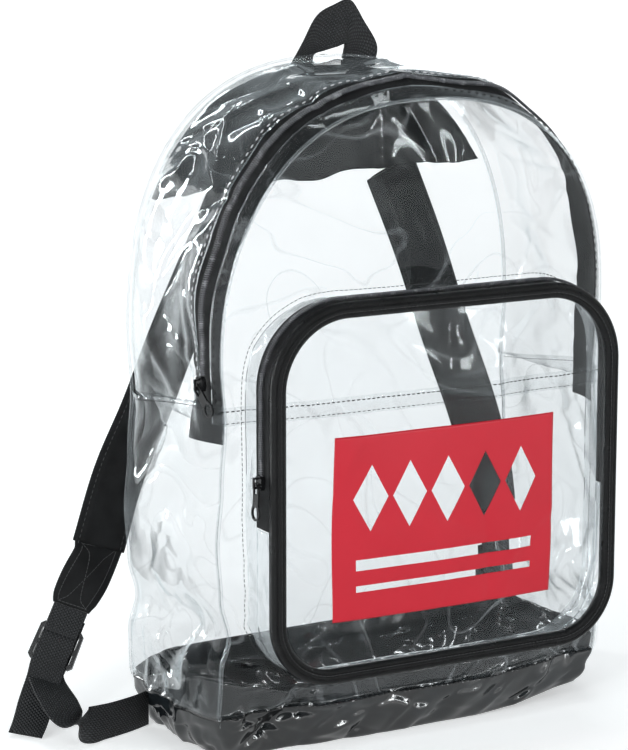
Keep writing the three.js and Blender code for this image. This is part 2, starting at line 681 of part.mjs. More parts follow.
function buildBase() {
  const heights = [baseFloor, ...sideHeights.filter((z) => z < baseHeight + 1)];
  const centre = new THREE.Vector3(0, 0, 0);
  const lipOut = layer + vinyl + seamLip;
  const lipRing = bodyRing(heights[0], lipOut, lipOut, vinyl + seamLip);
  const trayOut = layer - seamGap;
  const wallOut = heights.map((z) => bodyRing(z, trayOut, trayOut, -seamGap));
  const wallIn = heights.map((z) => bodyRing(z, trayOut - baseWall, trayOut - baseWall, -seamGap - baseWall));
  const rings = [
    ...[0.7, 0.35, 0].map((share) => towards(lipRing, centre, share, 0)),
    towards(lipRing, centre, 0, baseFloor),
    ...wallOut,
    ...wallIn.reverse(),
    ...[0.4, 0.75].map((share) => towards(wallIn[wallIn.length - 1], centre, share, baseFloor)),
  ];
  const n = rings[0].length;
  const points = rings.flat();
  const triangles = [];
  for (let i = 0; i < rings.length - 1; i++) {
    for (let k = 0; k < n; k++) {
      const [a, b, c, d] = [i * n + k, i * n + ((k + 1) % n), (i + 1) * n + ((k + 1) % n), (i + 1) * n + k];
      triangles.push([a, b, d], [b, c, d]);
    }
  }
  const foot = points.push(new THREE.Vector3(0, 0, 0)) - 1;
  const top = points.push(new THREE.Vector3(0, 0, baseFloor)) - 1;
  for (let k = 0; k < n; k++) {
    triangles.push([foot, (k + 1) % n, k]);
    triangles.push([top, (rings.length - 1) * n + k, (rings.length - 1) * n + ((k + 1) % n)]);
  }
  add("base_tray", geometryFrom(points, triangles), gloss);
}

// The pocket's outline: a rounded rectangle drawn as a three.js path
function pocketOutline() {
  const w = pocketWidth / 2;
  const [foot, top] = [pocketFoot, pocketFoot + pocketTall];
  const [rTop, rFoot] = [pocketCornerTop, pocketCornerFoot];
  const path = new THREE.Path();
  path.moveTo(0, foot);
  path.lineTo(w - rFoot, foot);
  path.absarc(w - rFoot, foot + rFoot, rFoot, -Math.PI / 2, 0, false);
  path.lineTo(w, top - rTop);
  path.absarc(w - rTop, top - rTop, rTop, 0, Math.PI / 2, false);
  path.lineTo(-w + rTop, top);
  path.absarc(-w + rTop, top - rTop, rTop, Math.PI / 2, Math.PI, false);
  path.lineTo(-w, foot + rFoot);
  path.absarc(-w + rFoot, foot + rFoot, rFoot, Math.PI, Math.PI * 1.5, false);
  path.lineTo(0, foot);
  return path;
}

const pocketPath = pocketOutline();

// Places round the rim, with the outward direction in the face's plane
function pocketRimAt(share) {
  const path = pocketPath;
  const at = path.getPointAt(share % 1);
  const along = path.getTangentAt(share % 1);
  return { x: at.x + pocketShift, z: at.y, outX: along.y, outZ: -along.x };
}

// Outer face of the front panels under the pocket's edge. The lower panel laps over the upper one.
const laps = (z) => z < pocketFoot + pocketTall - pocketCornerTop + 1;
const frontSkin = (x, z) => frontFace(x, z) - vinyl - (laps(z) ? layer : 0);

// Depth of the pocket's outer wall: it leans in a little towards the rim
function pocketWallAt(share, y, out) {
  const rim = pocketRimAt(share);
  return new THREE.Vector3(rim.x + rim.outX * out, y, rim.z + rim.outZ * out);
}

// Shares of the way round at which every piece of the pocket has a facet edge: five to a corner
function rimShares() {
  const lengths = pocketPath.getCurveLengths();
  const whole = lengths[lengths.length - 1];
  return uniqueSorted(lengths.flatMap((length, i) => {
    const start = i ? lengths[i - 1] : 0;
    const count = pocketPath.curves[i].isEllipseCurve ? 5 : Math.ceil((length - start) / 80);
    return length - start < 1 ? [] : steps(start / whole, length / whole, count).slice(0, -1);
  }));
}

function pocketBand(shares, yFrom, yTo, outFrom, outTo, closed) {
  return sheet(shares, [0, 1], (share, k, side) => {
    const rim = pocketRimAt(share);
    const y = mix(yFrom(rim), yTo(rim), k);
    return pocketWallAt(share, y, side ? outTo : outFrom);
  }, closed);
}

// Share of the way round the rim at which the right side passes a height, and the left side
function rimShareAt(height, hand) {
  const found = steps(0, 1, 400).find((share) => {
    const rim = pocketRimAt(share * 0.5);
    return rim.z > height && rim.x > 0;
  }) * 0.5;
  return hand > 0 ? found : 1 - found;
}

function pocketPanelY(x, z) {
  const middle = pocketFoot + pocketTall / 2;
  const [w, h] = [pocketWidth / 2, pocketTall / 2];
  const cubes = Math.abs((x - pocketShift) / w) ** 3 + Math.abs((z - middle) / h) ** 3;
  const share = clamp(cubes ** (1 / 3), 0, 1);
  return -pocketRim - pocketBulge * (1 - share ** 2);
}

function buildPocket() {
  const around = rimShares();
  const tapeBack = -pocketRim + bindingBack + pocketTapeWidth;
  const rimBack = -pocketRim + bindingBack + gap;
  const [right, left] = [rimShareAt(pocketZipEnd, 1), rimShareAt(pocketZipEnd, -1)];
  const split = 0.0005;
  const upper = [right, ...around.filter((share) => share > right && share < left), left];
  const lower = [
    left + split,
    ...around.filter((share) => share > left + split),
    ...around.filter((share) => share < right - split).map((share) => 1 + share),
    1 + right - split,
  ];
  add("pocket_seam_strip", pocketBand(
    around, () => tapeBack + gap, (rim) => frontSkin(rim.x, rim.z) - stripGap, -vinyl, 0, true), clear);
  add("pocket_zip_tape", pocketBand(upper, () => rimBack, () => tapeBack, -tapeThickness, 0, false), black);
  add("pocket_lower_gusset", pocketBand(lower, () => rimBack, () => tapeBack, -vinyl, 0, false), clear);
  add("pocket_binding", pocketBinding(around), black);
  add("pocket_front", pocketFront(around), clear);

  const coilY = (rimBack + tapeBack) / 2;
  const coilEnd = rimShareAt(pocketSliderHeight + sliderLength / 2 + gap, -1);
  const coilShares = [right + 8 * split, ...around.filter((share) => share > right && share < coilEnd), coilEnd];
  add("pocket_zip_coil", beadAlong(coilShares.map((share) => {
    const rim = pocketRimAt(share);
    const face = new THREE.Vector3(rim.outX, 0, rim.outZ);
    return { centre: pocketWallAt(share, coilY, 0.1), face, side: new THREE.Vector3(0, 1, 0) };
  })), gloss);
  const seat = rimShareAt(pocketSliderHeight, -1);
  const place = pocketWallAt(seat, coilY, 0);
  addSlider("pocket_zip", place, new THREE.Vector3(-1, 0, 0), new THREE.Vector3(0, 0, 1), 0, pocketPullLift);
}

function pocketBinding(around) {
  const section = [
    [0.6, bindingBack],
    [0.6, -bindingFront * 0.35],
    [-bindingWidth * 0.25, -bindingFront],
    [-bindingWidth * 0.6, -bindingFront * 0.8],
    [-bindingWidth, -bindingFront * 0.2],
    [-bindingWidth, bindingBack],
  ];
  const stations = around.map((share) => {
    const rim = pocketRimAt(share);
    return {
      centre: pocketWallAt(share, -pocketRim, 0),
      side: new THREE.Vector3(rim.outX, 0, rim.outZ),
      face: new THREE.Vector3(0, 1, 0),
    };
  });
  return sweep(stations, () => section, true);
}

// The pocket's clear face, made of rings that shrink to its middle
function pocketFront(around) {
  const middle = pocketFoot + pocketTall / 2;
  const outer = around.map((share) => {
    const rim = pocketRimAt(share);
    const inset = bindingWidth + seamGap;
    return new THREE.Vector2(rim.x - pocketShift - rim.outX * inset, rim.z - rim.outZ * inset);
  });
  const scales = [1, 0.82, 0.58, 0.3];
  const at = (p, scale, thick) => {
    const [x, z] = [pocketShift + p.x * scale, middle + (p.y - middle) * scale];
    return new THREE.Vector3(x, pocketPanelY(x, z) - thick, z);
  };
  const points = [vinyl, 0].flatMap((thick) => scales.flatMap((scale) => outer.map((p) => at(p, scale, thick))));
  const n = outer.length;
  const rows = scales.length;
  const triangles = [];
  const poles = [vinyl, 0].map((thick) =>
    points.push(new THREE.Vector3(pocketShift, pocketPanelY(pocketShift, middle) - thick, middle)) - 1);
  for (let k = 0; k < n; k++) {
    const next = (k + 1) % n;
    for (const side of [0, 1]) {
      for (let i = 0; i < rows - 1; i++) {
        const base = (side * rows + i) * n;
        const quad = [[base + k, base + next, base + n + next], [base + k, base + n + next, base + n + k]];
        triangles.push(...quad.map(([a, b, c]) => (side ? [a, c, b] : [a, b, c])));
      }
      const last = (side * rows + rows - 1) * n;
      triangles.push(side ? [last + k, poles[1], last + next] : [last + k, last + next, poles[0]]);
    }
    const [a, b, c, d] = [k, next, rows * n + next, rows * n + k];
    triangles.push([a, c, b], [a, d, c]);
  }
  return geometryFrom(points, triangles);
}

// A plain printed panel on the pocket with rows of clear lozenges and bars left in it
function buildPrint() {
  const [left, foot] = [printShift - printWidth / 2, printFoot];
  const us = steps(0, 1, 8);
  const vs = steps(0, 1, 6);
  const film = sheet(us, vs, (u, v, side) => {
    const [x, z] = [left + u * printWidth, foot + v * printTall];
    return new THREE.Vector3(x, pocketPanelY(x, z) - vinyl - gap - 0.2 - (side ? printFilm : 0), z);
  });
  const cutter = (shape) => solidOf(new THREE.ExtrudeGeometry(shape, { depth: 2 * printCut, bevelEnabled: false })
    .rotateX(Math.PI / 2).translate(0, -pocketRim - pocketBulge + printCut, 0));
  let solid = solidOf(film);
  const lozenges = [
    { across: 0.16, up: 0.66, wide: 0.15, tall: 0.36 },
    { across: 0.33, up: 0.66, wide: 0.15, tall: 0.36 },
    { across: 0.5, up: 0.66, wide: 0.15, tall: 0.36 },
    { across: 0.67, up: 0.66, wide: 0.15, tall: 0.36 },
    { across: 0.84, up: 0.66, wide: 0.15, tall: 0.36 },
  ];
  for (const row of lozenges) {
    const [x, z] = [left + row.across * printWidth, foot + row.up * printTall];
    const [w, h] = [(row.wide * printWidth) / 2, (row.tall * printTall) / 2];
    const shape = new THREE.Shape();
    shape.moveTo(x, z - h);
    shape.lineTo(x + w, z);
    shape.lineTo(x, z + h);
    shape.lineTo(x - w, z);
    solid = solid.subtract(cutter(shape));
  }
  const bars = [
    { from: 0.1, to: 0.9, up: 0.3, tall: 0.06 },
    { from: 0.1, to: 0.9, up: 0.17, tall: 0.035 },
  ];
  for (const row of bars) {
    const [x0, x1] = [left + row.from * printWidth, left + row.to * printWidth];
    const [z0, z1] = [foot + (row.up - row.tall / 2) * printTall, foot + (row.up + row.tall / 2) * printTall];
    const shape = new THREE.Shape();
    shape.moveTo(x0, z0);
    shape.lineTo(x1, z0);
    shape.lineTo(x1, z1);
    shape.lineTo(x0, z1);
    solid = solid.subtract(cutter(shape));
  }
  add("pocket_print", geometryOf(solid), red);
}

// Outer face of the back panel, and of the yoke that lies on it
const backSkin = (x, z) => backFace(x, z) + vinyl;
const yokeSkin = (x, z) => backSkin(x, z) + seamGap + yokeThickness;

function buildYoke() {
  const foot = bodyHeight - yokeDrop;
  const paths = uniqueSorted([0.03, ...archPaths.filter((p) => p > 0 && outline(p, 1).z > foot + yokeTilt)]);
  const rows = [...paths, 9];
  add("yoke", sheet(rows, across, (path, share, side) => {
    const out = seamGap + (side ? yokeThickness : 0);
    const edge = path === 9
      ? { x: widthAt(foot, 1) - yokeMargin, z: foot }
      : panelEdge(path, 1, -yokeMargin);
    const x = edge.x * share;
    const z = path === 9 ? foot + (yokeTilt * x) / bodyWidth : edge.z;
    return new THREE.Vector3(x, backSkin(x, z) + out, z);
  }), black);
}

// The grab handle: a band of webbing that leans up from one end, folds over at the top and comes down upright,
// as places across its span and up its rise
const handleOutline = [
  { across: 0, up: 0 },
  { across: 0.16, up: 0.38 },
  { across: 0.32, up: 0.78 },
  { across: 0.51, up: 0.94 },
  { across: 0.7, up: 1 },
  { across: 0.86, up: 0.67 },
  { across: 1, up: 0.31 },
  { across: 0.97, up: 0 },
  { across: 0.6, up: 0 },
  { across: 0.64, up: 0.35 },
  { across: 0.46, up: 0.29 },
  { across: 0.28, up: 0.21 },
  { across: 0.28, up: 0 },
];

function buildHandle() {
  const foot = bodyHeight - yokeMargin + gap;
  const plan = new THREE.Shape(handleOutline.map((row) => new THREE.Vector2(
    handleShift + (row.across - 0.5) * handleSpan, foot + row.up * handleRise)));
  const options = { depth: handleThickness, bevelEnabled: false };
  const band = new THREE.ExtrudeGeometry(plan, options).rotateX(Math.PI / 2);
  add("grab_handle", band.translate(0, backSkin(0, foot) + gap + handleThickness, 0), black);
}

const lockLength = 3 * lockBar + lockUpperSlot + lockLowerSlot;
const lockWrap = lockThickness / 2 + gap + webbingThickness / 2; // the webbing's middle, off the buckle's middle

// A buckle: a rounded frame with two slots and three bars, in its own plane
function lockGeometry() {
  const plan = new THREE.Shape();
  const [w, l, r] = [lockWidth / 2, lockLength / 2, lockRound];
  plan.moveTo(-w + r, -l);
  plan.lineTo(w - r, -l);
  plan.lineTo(w, -l + r);
  plan.lineTo(w * 0.96, l - r);
  plan.lineTo(w * 0.96 - r, l);
  plan.lineTo(-w * 0.96 + r, l);
  plan.lineTo(-w * 0.96, l - r);
  plan.lineTo(-w, -l + r);
  const inner = w - lockRail;
  const slots = [
    { foot: -l + lockBar, top: -l + lockBar + lockLowerSlot },
    { foot: l - lockBar - lockUpperSlot, top: l - lockBar },
  ];
  for (const { foot, top } of slots) {
    plan.holes.push(new THREE.Path([
      new THREE.Vector2(-inner, foot),
      new THREE.Vector2(-inner, top),
      new THREE.Vector2(inner, top),
      new THREE.Vector2(inner, foot),
    ]));
  }
  const options = { depth: lockThickness, bevelEnabled: false };
  return new THREE.ExtrudeGeometry(plan, options).translate(0, 0, -lockThickness / 2);
}

const rowPoint = (row) => new THREE.Vector3(row.across * bodyWidth, row.behind * bodyDepth, row.up * bodyHeight);
const rowSide = (row) => new THREE.Vector3(row.sideX, row.sideY, row.sideZ).normalize();
const asStation = (row) => ({ at: rowPoint(row), side: rowSide(row) });

// One strap: pad, boxed end, stub round the buckle's top bar, and webbing round its middle bar to a free tail
function buildStrap(hand, strap, lock, riser, tail) {
  const name = (base) => base + "_" + hand;
  const rows = strap.map(asStation);
  const top = rows[0].at;
  top.y = yokeSkin(top.x, top.z) + strapThickness / 2 + 2 * gap;
  add(name("shoulder_strap"), sweep(stationsThrough(rows, 15), () =>
    padSection(strapWidth, strapThickness)), black);

  const seat = new THREE.Group();
  const up = new THREE.Vector3(lock.upX, lock.upY, lock.upZ).normalize();
  const side = rowSide(lock);
  side.addScaledVector(up, -side.dot(up)).normalize();
  const face = new THREE.Vector3().crossVectors(side, up);
  seat.matrix.makeBasis(side, up, face);
  seat.matrix.setPosition(rowPoint(lock));
  seat.matrix.decompose(seat.position, seat.quaternion, seat.scale);
  daypack.add(seat);
  add(name("ladder_lock"), lockGeometry(), gloss, seat);
  const inLock = (v, w) => ({ at: rowPoint(lock).addScaledVector(up, v).addScaledVector(face, w), side });

  const topBar = lockLength / 2 - lockBar;
  const stubTop = lockLength / 2 + stubLength;
  const turns = [0, 45, 90, 135, 180].map((a) => THREE.MathUtils.degToRad(a));
  const stub = [
    inLock(stubTop, lockWrap),
    inLock(topBar + 4, lockWrap),
    ...turns.map((a) => inLock(topBar - lockWrap * Math.sin(a), lockWrap * Math.cos(a))),
    inLock(topBar + 4, -lockWrap),
    inLock(topBar + stubReturn, -lockWrap),
  ];
  const webbing = () => flatSection(webbingWidth, webbingThickness);
  add(name("stub_webbing"), sweep(stationsThrough(stub, stub.length - 1), webbing), black);

  const midBar = topBar - lockUpperSlot;
  const turned = (v, w) => ({ at: inLock(v, w).at, side: side.clone().negate() });
  const run = [
    ...riser.map(asStation),
    turned(-lockLength / 2 - 6, -lockWrap),
    turned(-lockLength / 2, -lockWrap),
    turned(midBar - 3, -lockWrap),
    ...turns.map((a) => turned(midBar + lockWrap * Math.sin(a), -lockWrap * Math.cos(a))),
    turned(midBar - 3, lockWrap),
    turned(-lockLength / 2, lockWrap),
    ...tail.map(asStation),
  ];
  add(name("adjuster_webbing"), sweep(stationsThrough(run, (run.length - 1) * 2), webbing), black);

  const end = asStation(strap[strap.length - 1]);
  const before = rowPoint(strap[strap.length - 2]);
  const along = end.at.clone().sub(before).normalize();
  const tabRows = [
    { at: end.at.clone().addScaledVector(along, seamGap), side: end.side },
    { at: end.at.clone().addScaledVector(along, 7), side: end.side },
    inLock(stubTop + 7, lockWrap),
    inLock(stubTop + gap, lockWrap),
  ];
  add(name("strap_tab"), sweep(stationsThrough(tabRows, 9), (k) =>
    flatSection(mix(strapWidth - 3, webbingWidth + 2, k ** 1.3), tabCloth)), black);
}

function buildStraps() {
  buildStrap("left", leftStrap, leftLock, leftRiser, leftTail);
  buildStrap("right", rightStrap, rightLock, rightRiser, rightTail);
}

buildBody();
buildBase();
buildMainZip();
buildPocket();
buildPrint();
buildYoke();
buildHandle();
buildStraps();

export default daypack;
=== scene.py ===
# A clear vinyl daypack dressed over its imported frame: crumpled clear sheets, a glossy black base, coil
# zippers with their teeth, a bound pocket with a printed panel, a raw-edged yoke, a webbing handle and
# webbed shoulder straps.
import math

import bpy
import numpy as np
from mathutils import Matrix


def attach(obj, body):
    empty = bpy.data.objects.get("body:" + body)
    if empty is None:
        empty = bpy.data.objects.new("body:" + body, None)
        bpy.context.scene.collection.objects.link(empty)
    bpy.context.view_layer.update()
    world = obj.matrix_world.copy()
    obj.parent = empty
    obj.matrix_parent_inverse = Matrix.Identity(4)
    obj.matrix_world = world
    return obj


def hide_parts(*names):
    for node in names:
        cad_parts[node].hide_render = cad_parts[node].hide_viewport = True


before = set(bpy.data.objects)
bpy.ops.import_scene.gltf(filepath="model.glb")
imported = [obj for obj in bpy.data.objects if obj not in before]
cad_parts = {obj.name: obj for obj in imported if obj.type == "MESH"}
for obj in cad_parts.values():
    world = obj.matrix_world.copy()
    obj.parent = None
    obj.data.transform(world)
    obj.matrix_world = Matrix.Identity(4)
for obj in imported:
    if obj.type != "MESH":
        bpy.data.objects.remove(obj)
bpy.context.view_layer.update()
MM = 0.001  # sizes below are in millimetres, and meshes in metres

# Body
body_width = 316
body_depth = 128
body_height = 452
spring_height = 270
arch_power = 2.4
front_seam_depth = 60
front_inset = 8
front_drop = 16
back_inset = 4
front_bulge = 9
back_bulge = 5
brow_reach = 13
foot_tuck = 12
foot_height = 70
corner_lift = 15
corner_lift_start = 40
corner_lift_height = 90

# Sheets and seams
vinyl = 1.2  # the solids' sheet, which the film lies in the middle of
film = 0.5
layer = 1.5
seam_lip = 2.5
belt_height = 243
belt_overlap = 13
base_seam = 30  # the stitched line round the base
base_top = 44

# Main zipper, as shares of the body's depth
tape_from, front_strip_to, coil_at, rear_strip_from, tape_to = 0.02, 0.085, 0.148, 0.21, 0.27
main_slider_height = 256
slider_length = 9.5
tape_tail = 13
tooth_pitch = 1.5
coil_width = 5.6
coil_height = 2.4

# Pocket
pocket_width = 268
pocket_tall = 254
pocket_shift = 2
pocket_foot = 58
pocket_rim = 100
pocket_corner_top = 56
pocket_corner_foot = 45
pocket_bulge = 9
binding_width = 9.5
binding_front = 4
binding_back = 3
pocket_tape_width = 18
pocket_zip_end = 165
pocket_slider_height = 196
print_width = 169
print_tall = 125
print_foot = 100
print_shift = -4

# Yoke, handle and straps
yoke_drop = 83
yoke_tilt = 16
yoke_margin = 4
handle_span = 72
handle_rise = 45
handle_shift = 9
strap_width = 42
strap_thickness = 5
webbing_width = 25
webbing_thickness = 1.4
tab_cloth = 2.6
lock_thickness = 3.4
lock_length = 28
lock_bar = 4
lock_upper_slot = 9
stub_length = 14
stub_return = 12
thread_gauge = 0.55

# Swell and pinch of the sides with height, as shares of the height and the width
side_up = np.array([0, 0.033, 0.077, 0.14, 0.19, 0.25, 0.33, 0.42, 0.51, 0.6])
side_out = np.array([-0.042, -0.0275, -0.006, -0.007, -0.026, -0.008, -0.001, -0.011, -0.02, -0.012])

# Main folds of the front and of the sides: across and up at both ends, then their width and their rise, as
# shares of the half width (or the depth), the height and the depth
front_folds = [
    (-0.95, 0.26, -0.6, 0.12, 0.035, 0.03),
    (-0.95, 0.15, -0.6, 0.03, 0.035, -0.035),
    (0.75, 0.12, 0.85, 0.02, 0.035, -0.03),
    (-0.6, 0.83, -0.35, 0.76, 0.05, -0.02),
]
side_folds = [
    (0.9, 0.36, 0.55, 0.52, 0.035, -0.03),
    (0.2, 0.24, 0.6, 0.1, 0.035, -0.035),
    (0.45, 0.6, 0.6, 0.8, 0.05, -0.03),
]

# Straps: the middle of each row and the way across it
left_strap = np.array([
    (-60, 78, 372, 1, 0, -0.25),
    (-84, 82.5, 318, 0.92, 0.05, -0.4),
    (-107, 90, 264, 0.91, 0.1, -0.4),
    (-129, 92, 212, 0.9, 0.1, -0.42),
    (-151, 92, 166, 0.9, 0.05, -0.45),
    (-169, 88, 118, 0.9, 0, -0.4),
])
right_strap = np.array([
    (60, 78, 372, 1, 0, 0.25),
    (86, 81.5, 315, 0.92, 0, 0.4),
    (112, 86, 250, 0.92, 0, 0.4),
    (138, 87, 185, 0.95, 0, 0.3),
    (152, 88, 140, 0.98, 0, 0.2),
    (157, 88, 108, 1, 0, 0.05),
])

# Buckles: the middle, the way up towards the shoulder and the way across
left_lock = np.array([(-208, 75.5, 55), (0.53, 0.24, 0.81), (0.78, -0.6, -0.2)])
right_lock = np.array([(161, 90, 56), (-0.05, 0, 1), (1, 0.05, 0)])
left_riser = np.array([
    (-157, 36, 13.6, 0, 0, 1),
    (-172, 29, 13.6, 0, 0, 1),
    (-196, 22, 13.6, -0.2, 0, 0.98),
    (-212, 19, 14.5, -0.75, 0.15, 0.65),
    (-220, 25, 18, -0.98, 0.2, 0.2),
    (-222, 40, 26, -0.9, 0.4, 0),
])
left_tail = np.array([
    (-221, 67, 36, -0.8, 0.58, 0.1),
    (-230, 62, 20, -0.85, 0.52, 0.03),
    (-237, 56, 9.5, -0.8, 0.6, 0),
    (-243, 51, 3, -0.75, 0.66, 0),
])
right_riser = np.array([
    (160, 46, 28, 0, 0, 1),
    (170, 57, 22, -0.2, -0.3, 0.95),
    (174, 70, 18, -0.8, -0.4, 0.4),
    (169, 80, 22, -1, -0.1, 0.1),
])
right_tail = np.array([
    (162.5, 94, 28, -1, 0, 0),
    (164, 97, 12, -1, 0, 0),
    (165, 104, 2.6, -1, 0.1, 0),
    (166, 116, 1.2, -1, 0.1, 0),
])


# Curves and fields

def smooth(share):
    """Goes from 0 to 1 with level ends: 3k squared less 2k cubed."""
    k = np.clip(share, 0, 1)
    return k * k * (3 - 2 * k)


def blend(start, end, share):
    """Goes straight from start to end as share goes from 0 to 1."""
    return start + (end - start) * share


def eased(at, stops, values):
    """Reads a table with a smooth step between its rows."""
    at = np.clip(at, stops[0], stops[-1])
    i = np.clip(np.searchsorted(stops, at), 1, len(stops) - 1)
    return blend(values[i - 1], values[i], smooth((at - stops[i - 1]) / (stops[i] - stops[i - 1])))


def unit(vectors):
    """Vectors over their own length."""
    return vectors / np.maximum(np.linalg.norm(vectors, axis=-1, keepdims=True), 1e-9)


def fold(p, q, pa, qa, pb, qb, wide, proud):
    """A ridge along a line: proud * exp(-(distance / wide) squared), swelling to the middle as a sine."""
    dp, dq = pb - pa, qb - qa
    along = np.clip(((p - pa) * dp + (q - qa) * dq) / (dp * dp + dq * dq), 0, 1)
    away = np.hypot(p - pa - along * dp, q - qa - along * dq)
    return proud * np.exp(-((away / wide) ** 2)) * np.sin(np.pi * blend(0.15, 0.85, along))


def creases(p, q, seed, count, low, high, lean, long, wide, deep):
    """Random sharp creases in a box: each adds deep / (1 + (distance / wide) squared), faded at its ends."""
    rng = np.random.default_rng(seed)
    total = np.zeros(np.broadcast(p, q).shape)
    for _ in range(count):
        pm, qm = rng.uniform(low, high)
        angle = math.radians(rng.uniform(*lean))
        reach = long * rng.uniform(0.5, 1.2)
        dp, dq = math.cos(angle), math.sin(angle)
        along = (p - pm) * dp + (q - qm) * dq
        bend = 0.15 * along * along / reach * rng.uniform(-1, 1)
        away = (q - qm) * dp - (p - pm) * dq + bend
        fade = np.clip(1 - (along / reach) ** 2, 0, 1) ** 2
        total += rng.uniform(0.4, 1) * rng.choice([-1, 1]) * deep * fade / (1 + (away / wide) ** 2)
    return total


def ripple(p, q, seed, size, deep):
    """Gentle unevenness: the sum of eight sine waves that run different ways, each about size long."""
    rng = np.random.default_rng(seed)
    total = np.zeros(np.broadcast(p, q).shape)
    for _ in range(8):
        angle, turn = rng.uniform(0, 2 * np.pi, 2)
        step = 2 * np.pi / (size * rng.uniform(0.7, 1.6))
        total += np.sin(step * (p * math.cos(angle) + q * math.sin(angle)) + turn)
    return total * deep / 4


def evenly(points, pitch):
    """Shares of the way and places a pitch apart along a line of points, read off its running length."""
    run = np.concatenate([[0], np.cumsum(np.linalg.norm(np.diff(points, axis=0), axis=1))])
    at = np.arange(pitch / 2, run[-1], pitch)
    return at / run[-1], np.stack([np.interp(at, run, points[:, k]) for k in range(points.shape[1])], axis=1)


# The body's surface. path runs from -2 at the floor on the left over the arch to 2 on the right, and
# depth from 0 at the front seam to 1 at the back seam.

def path_of(height):
    """Place along the outline of a height on the straight side."""
    return 2 - height / spring_height


def front_seam(z):
    """Depth of the front seam: it leans forward over the brow and tucks in at the foot."""
    brow = brow_reach * smooth((z - spring_height) / (body_height * 0.31))
    return -front_seam_depth - brow + foot_tuck * np.maximum(0, 1 - z / foot_height) ** 2


def back_seam(z):
    """Depth of the back seam, which tucks in at the foot."""
    return body_depth - front_seam_depth - foot_tuck * 0.6 * np.maximum(0, 1 - z / foot_height) ** 2


def lift(x, z):
    """How far the right end of the base curls up: a power of the way to the corner, fading with height."""
    share = np.clip((x - corner_lift_start) / (body_width / 2 - corner_lift_start), 0, 1.05)
    return corner_lift * share ** 1.5 * np.maximum(0, 1 - z / corner_lift_height) ** 2


def roll_in(depth):
    """1 at the front seam, easing to 0."""
    return np.maximum(0, 1 - depth / 0.3) ** 2


def half_width(z, depth):
    """Half the body's width: rolled in at both seams, with the swell and pinch of the table."""
    roll_out = np.maximum(0, (depth - 0.8) / 0.2) ** 2
    wave = body_width * eased(z / body_height, side_up, side_out)
    return body_width / 2 - front_inset * roll_in(depth) - back_inset * roll_out + wave


def outline(path, depth):
    """The arch: straight sides up to the spring height, then a superellipse over the top."""
    hand = np.where(path < 0, -1.0, 1.0)
    away = np.abs(path)
    angle = np.clip(1 - away, 0, 1) * np.pi / 2
    leg = spring_height * (2 - away)
    rise = body_height - front_drop * roll_in(depth) - spring_height
    across = np.clip(np.cos(angle), 0, 1) ** (2 / arch_power)
    arch = half_width(np.full_like(leg, spring_height), depth) * across
    x = np.where(away > 1, half_width(leg, depth), arch)
    z = np.where(away > 1, leg, spring_height + rise * np.clip(np.sin(angle), 0, 1) ** (2 / arch_power))
    return hand * x, z


def gusset_bare(path, depth):
    """A point of the unfolded gusset: the outline, set between the two seams by depth."""
    x, z = outline(path, depth)
    return np.stack([x, blend(front_seam(z), back_seam(z), depth), z + lift(x, z)], axis=-1)


def gusset_normal(path, depth):
    """Outward direction: the cross product of small steps along the outline and along the depth."""
    step = 0.004
    along = gusset_bare(path + step, depth) - gusset_bare(path - step, depth)
    back = gusset_bare(path, np.minimum(1, depth + step)) - gusset_bare(path, np.maximum(0, depth - step))
    return unit(np.cross(along, back))


def gusset_crease(path, depth):
    """How far the side stands out: main folds, plus random creases and ripples that die out at the seams."""
    _, z = outline(path, depth)
    p = depth * body_depth
    main = sum(fold(p, z, a * body_depth, b * body_height, c * body_depth, d * body_height,
                    wide * body_height, proud * body_depth) for a, b, c, d, wide, proud in side_folds)
    run = path * spring_height
    fine = ripple(run, p, 3, 60, 2.2)
    fine += creases(run, p, 4, 90, (-560, 25), (560, 115), (20, 160), 60, 3.5, 2.2)
    low = smooth(1 - z / 130) * creases(run, p, 5, 50, (-560, 8), (-360, 120), (0, 180), 50, 3.2, 3.4)
    return (main + fine + low) * smooth(depth * 6) * smooth((1 - depth) * 6)


def gusset(path, depth, out):
    """A point of the gusset, moved outwards by out and its folds."""
    path, depth = np.broadcast_arrays(np.asarray(path, float), np.asarray(depth, float))
    proud = (out + gusset_crease(path, depth))[..., None]
    return gusset_bare(path, depth) + gusset_normal(path, depth) * proud


def panel_edge(path, depth, reach):
    """Edge of a panel that caps the gusset: the outline moved outwards, square to itself, by reach."""
    step = 0.01
    low, high = outline(path - step, depth), outline(path + step, depth)
    dx, dz = high[0] - low[0], high[1] - low[1]
    long = np.hypot(dx, dz)
    x, z = outline(path, depth)
    return x - reach * dz / long, z + reach * dx / long


def arch_rise(depth):
    """Height of the arch above the spring line."""
    return body_height - front_drop * roll_in(depth) - spring_height


def face_share(x, z, depth):
    """How far out a point is over a face: 0 in the middle, 1 at the seam."""
    up = np.clip((z - spring_height) / arch_rise(depth), 0, 1)
    arch = half_width(np.full_like(z, spring_height), depth) * (1 - up ** arch_power) ** (1 / arch_power)
    return np.clip(np.abs(x) / np.maximum(1, np.where(z > spring_height, arch, half_width(z, depth))), 0, 1)


def swell(x, z, depth, bulge):
    """Crown of a face: bulge * (1 - share squared), dying out at the crown and the foot."""
    crown = 1 - np.clip((z - spring_height) / arch_rise(depth), 0, 1) ** 3
    foot = blend(0.4, 1, smooth(z / (body_height * 0.25)))
    return bulge * (1 - face_share(x, z, depth) ** 2) * crown * foot


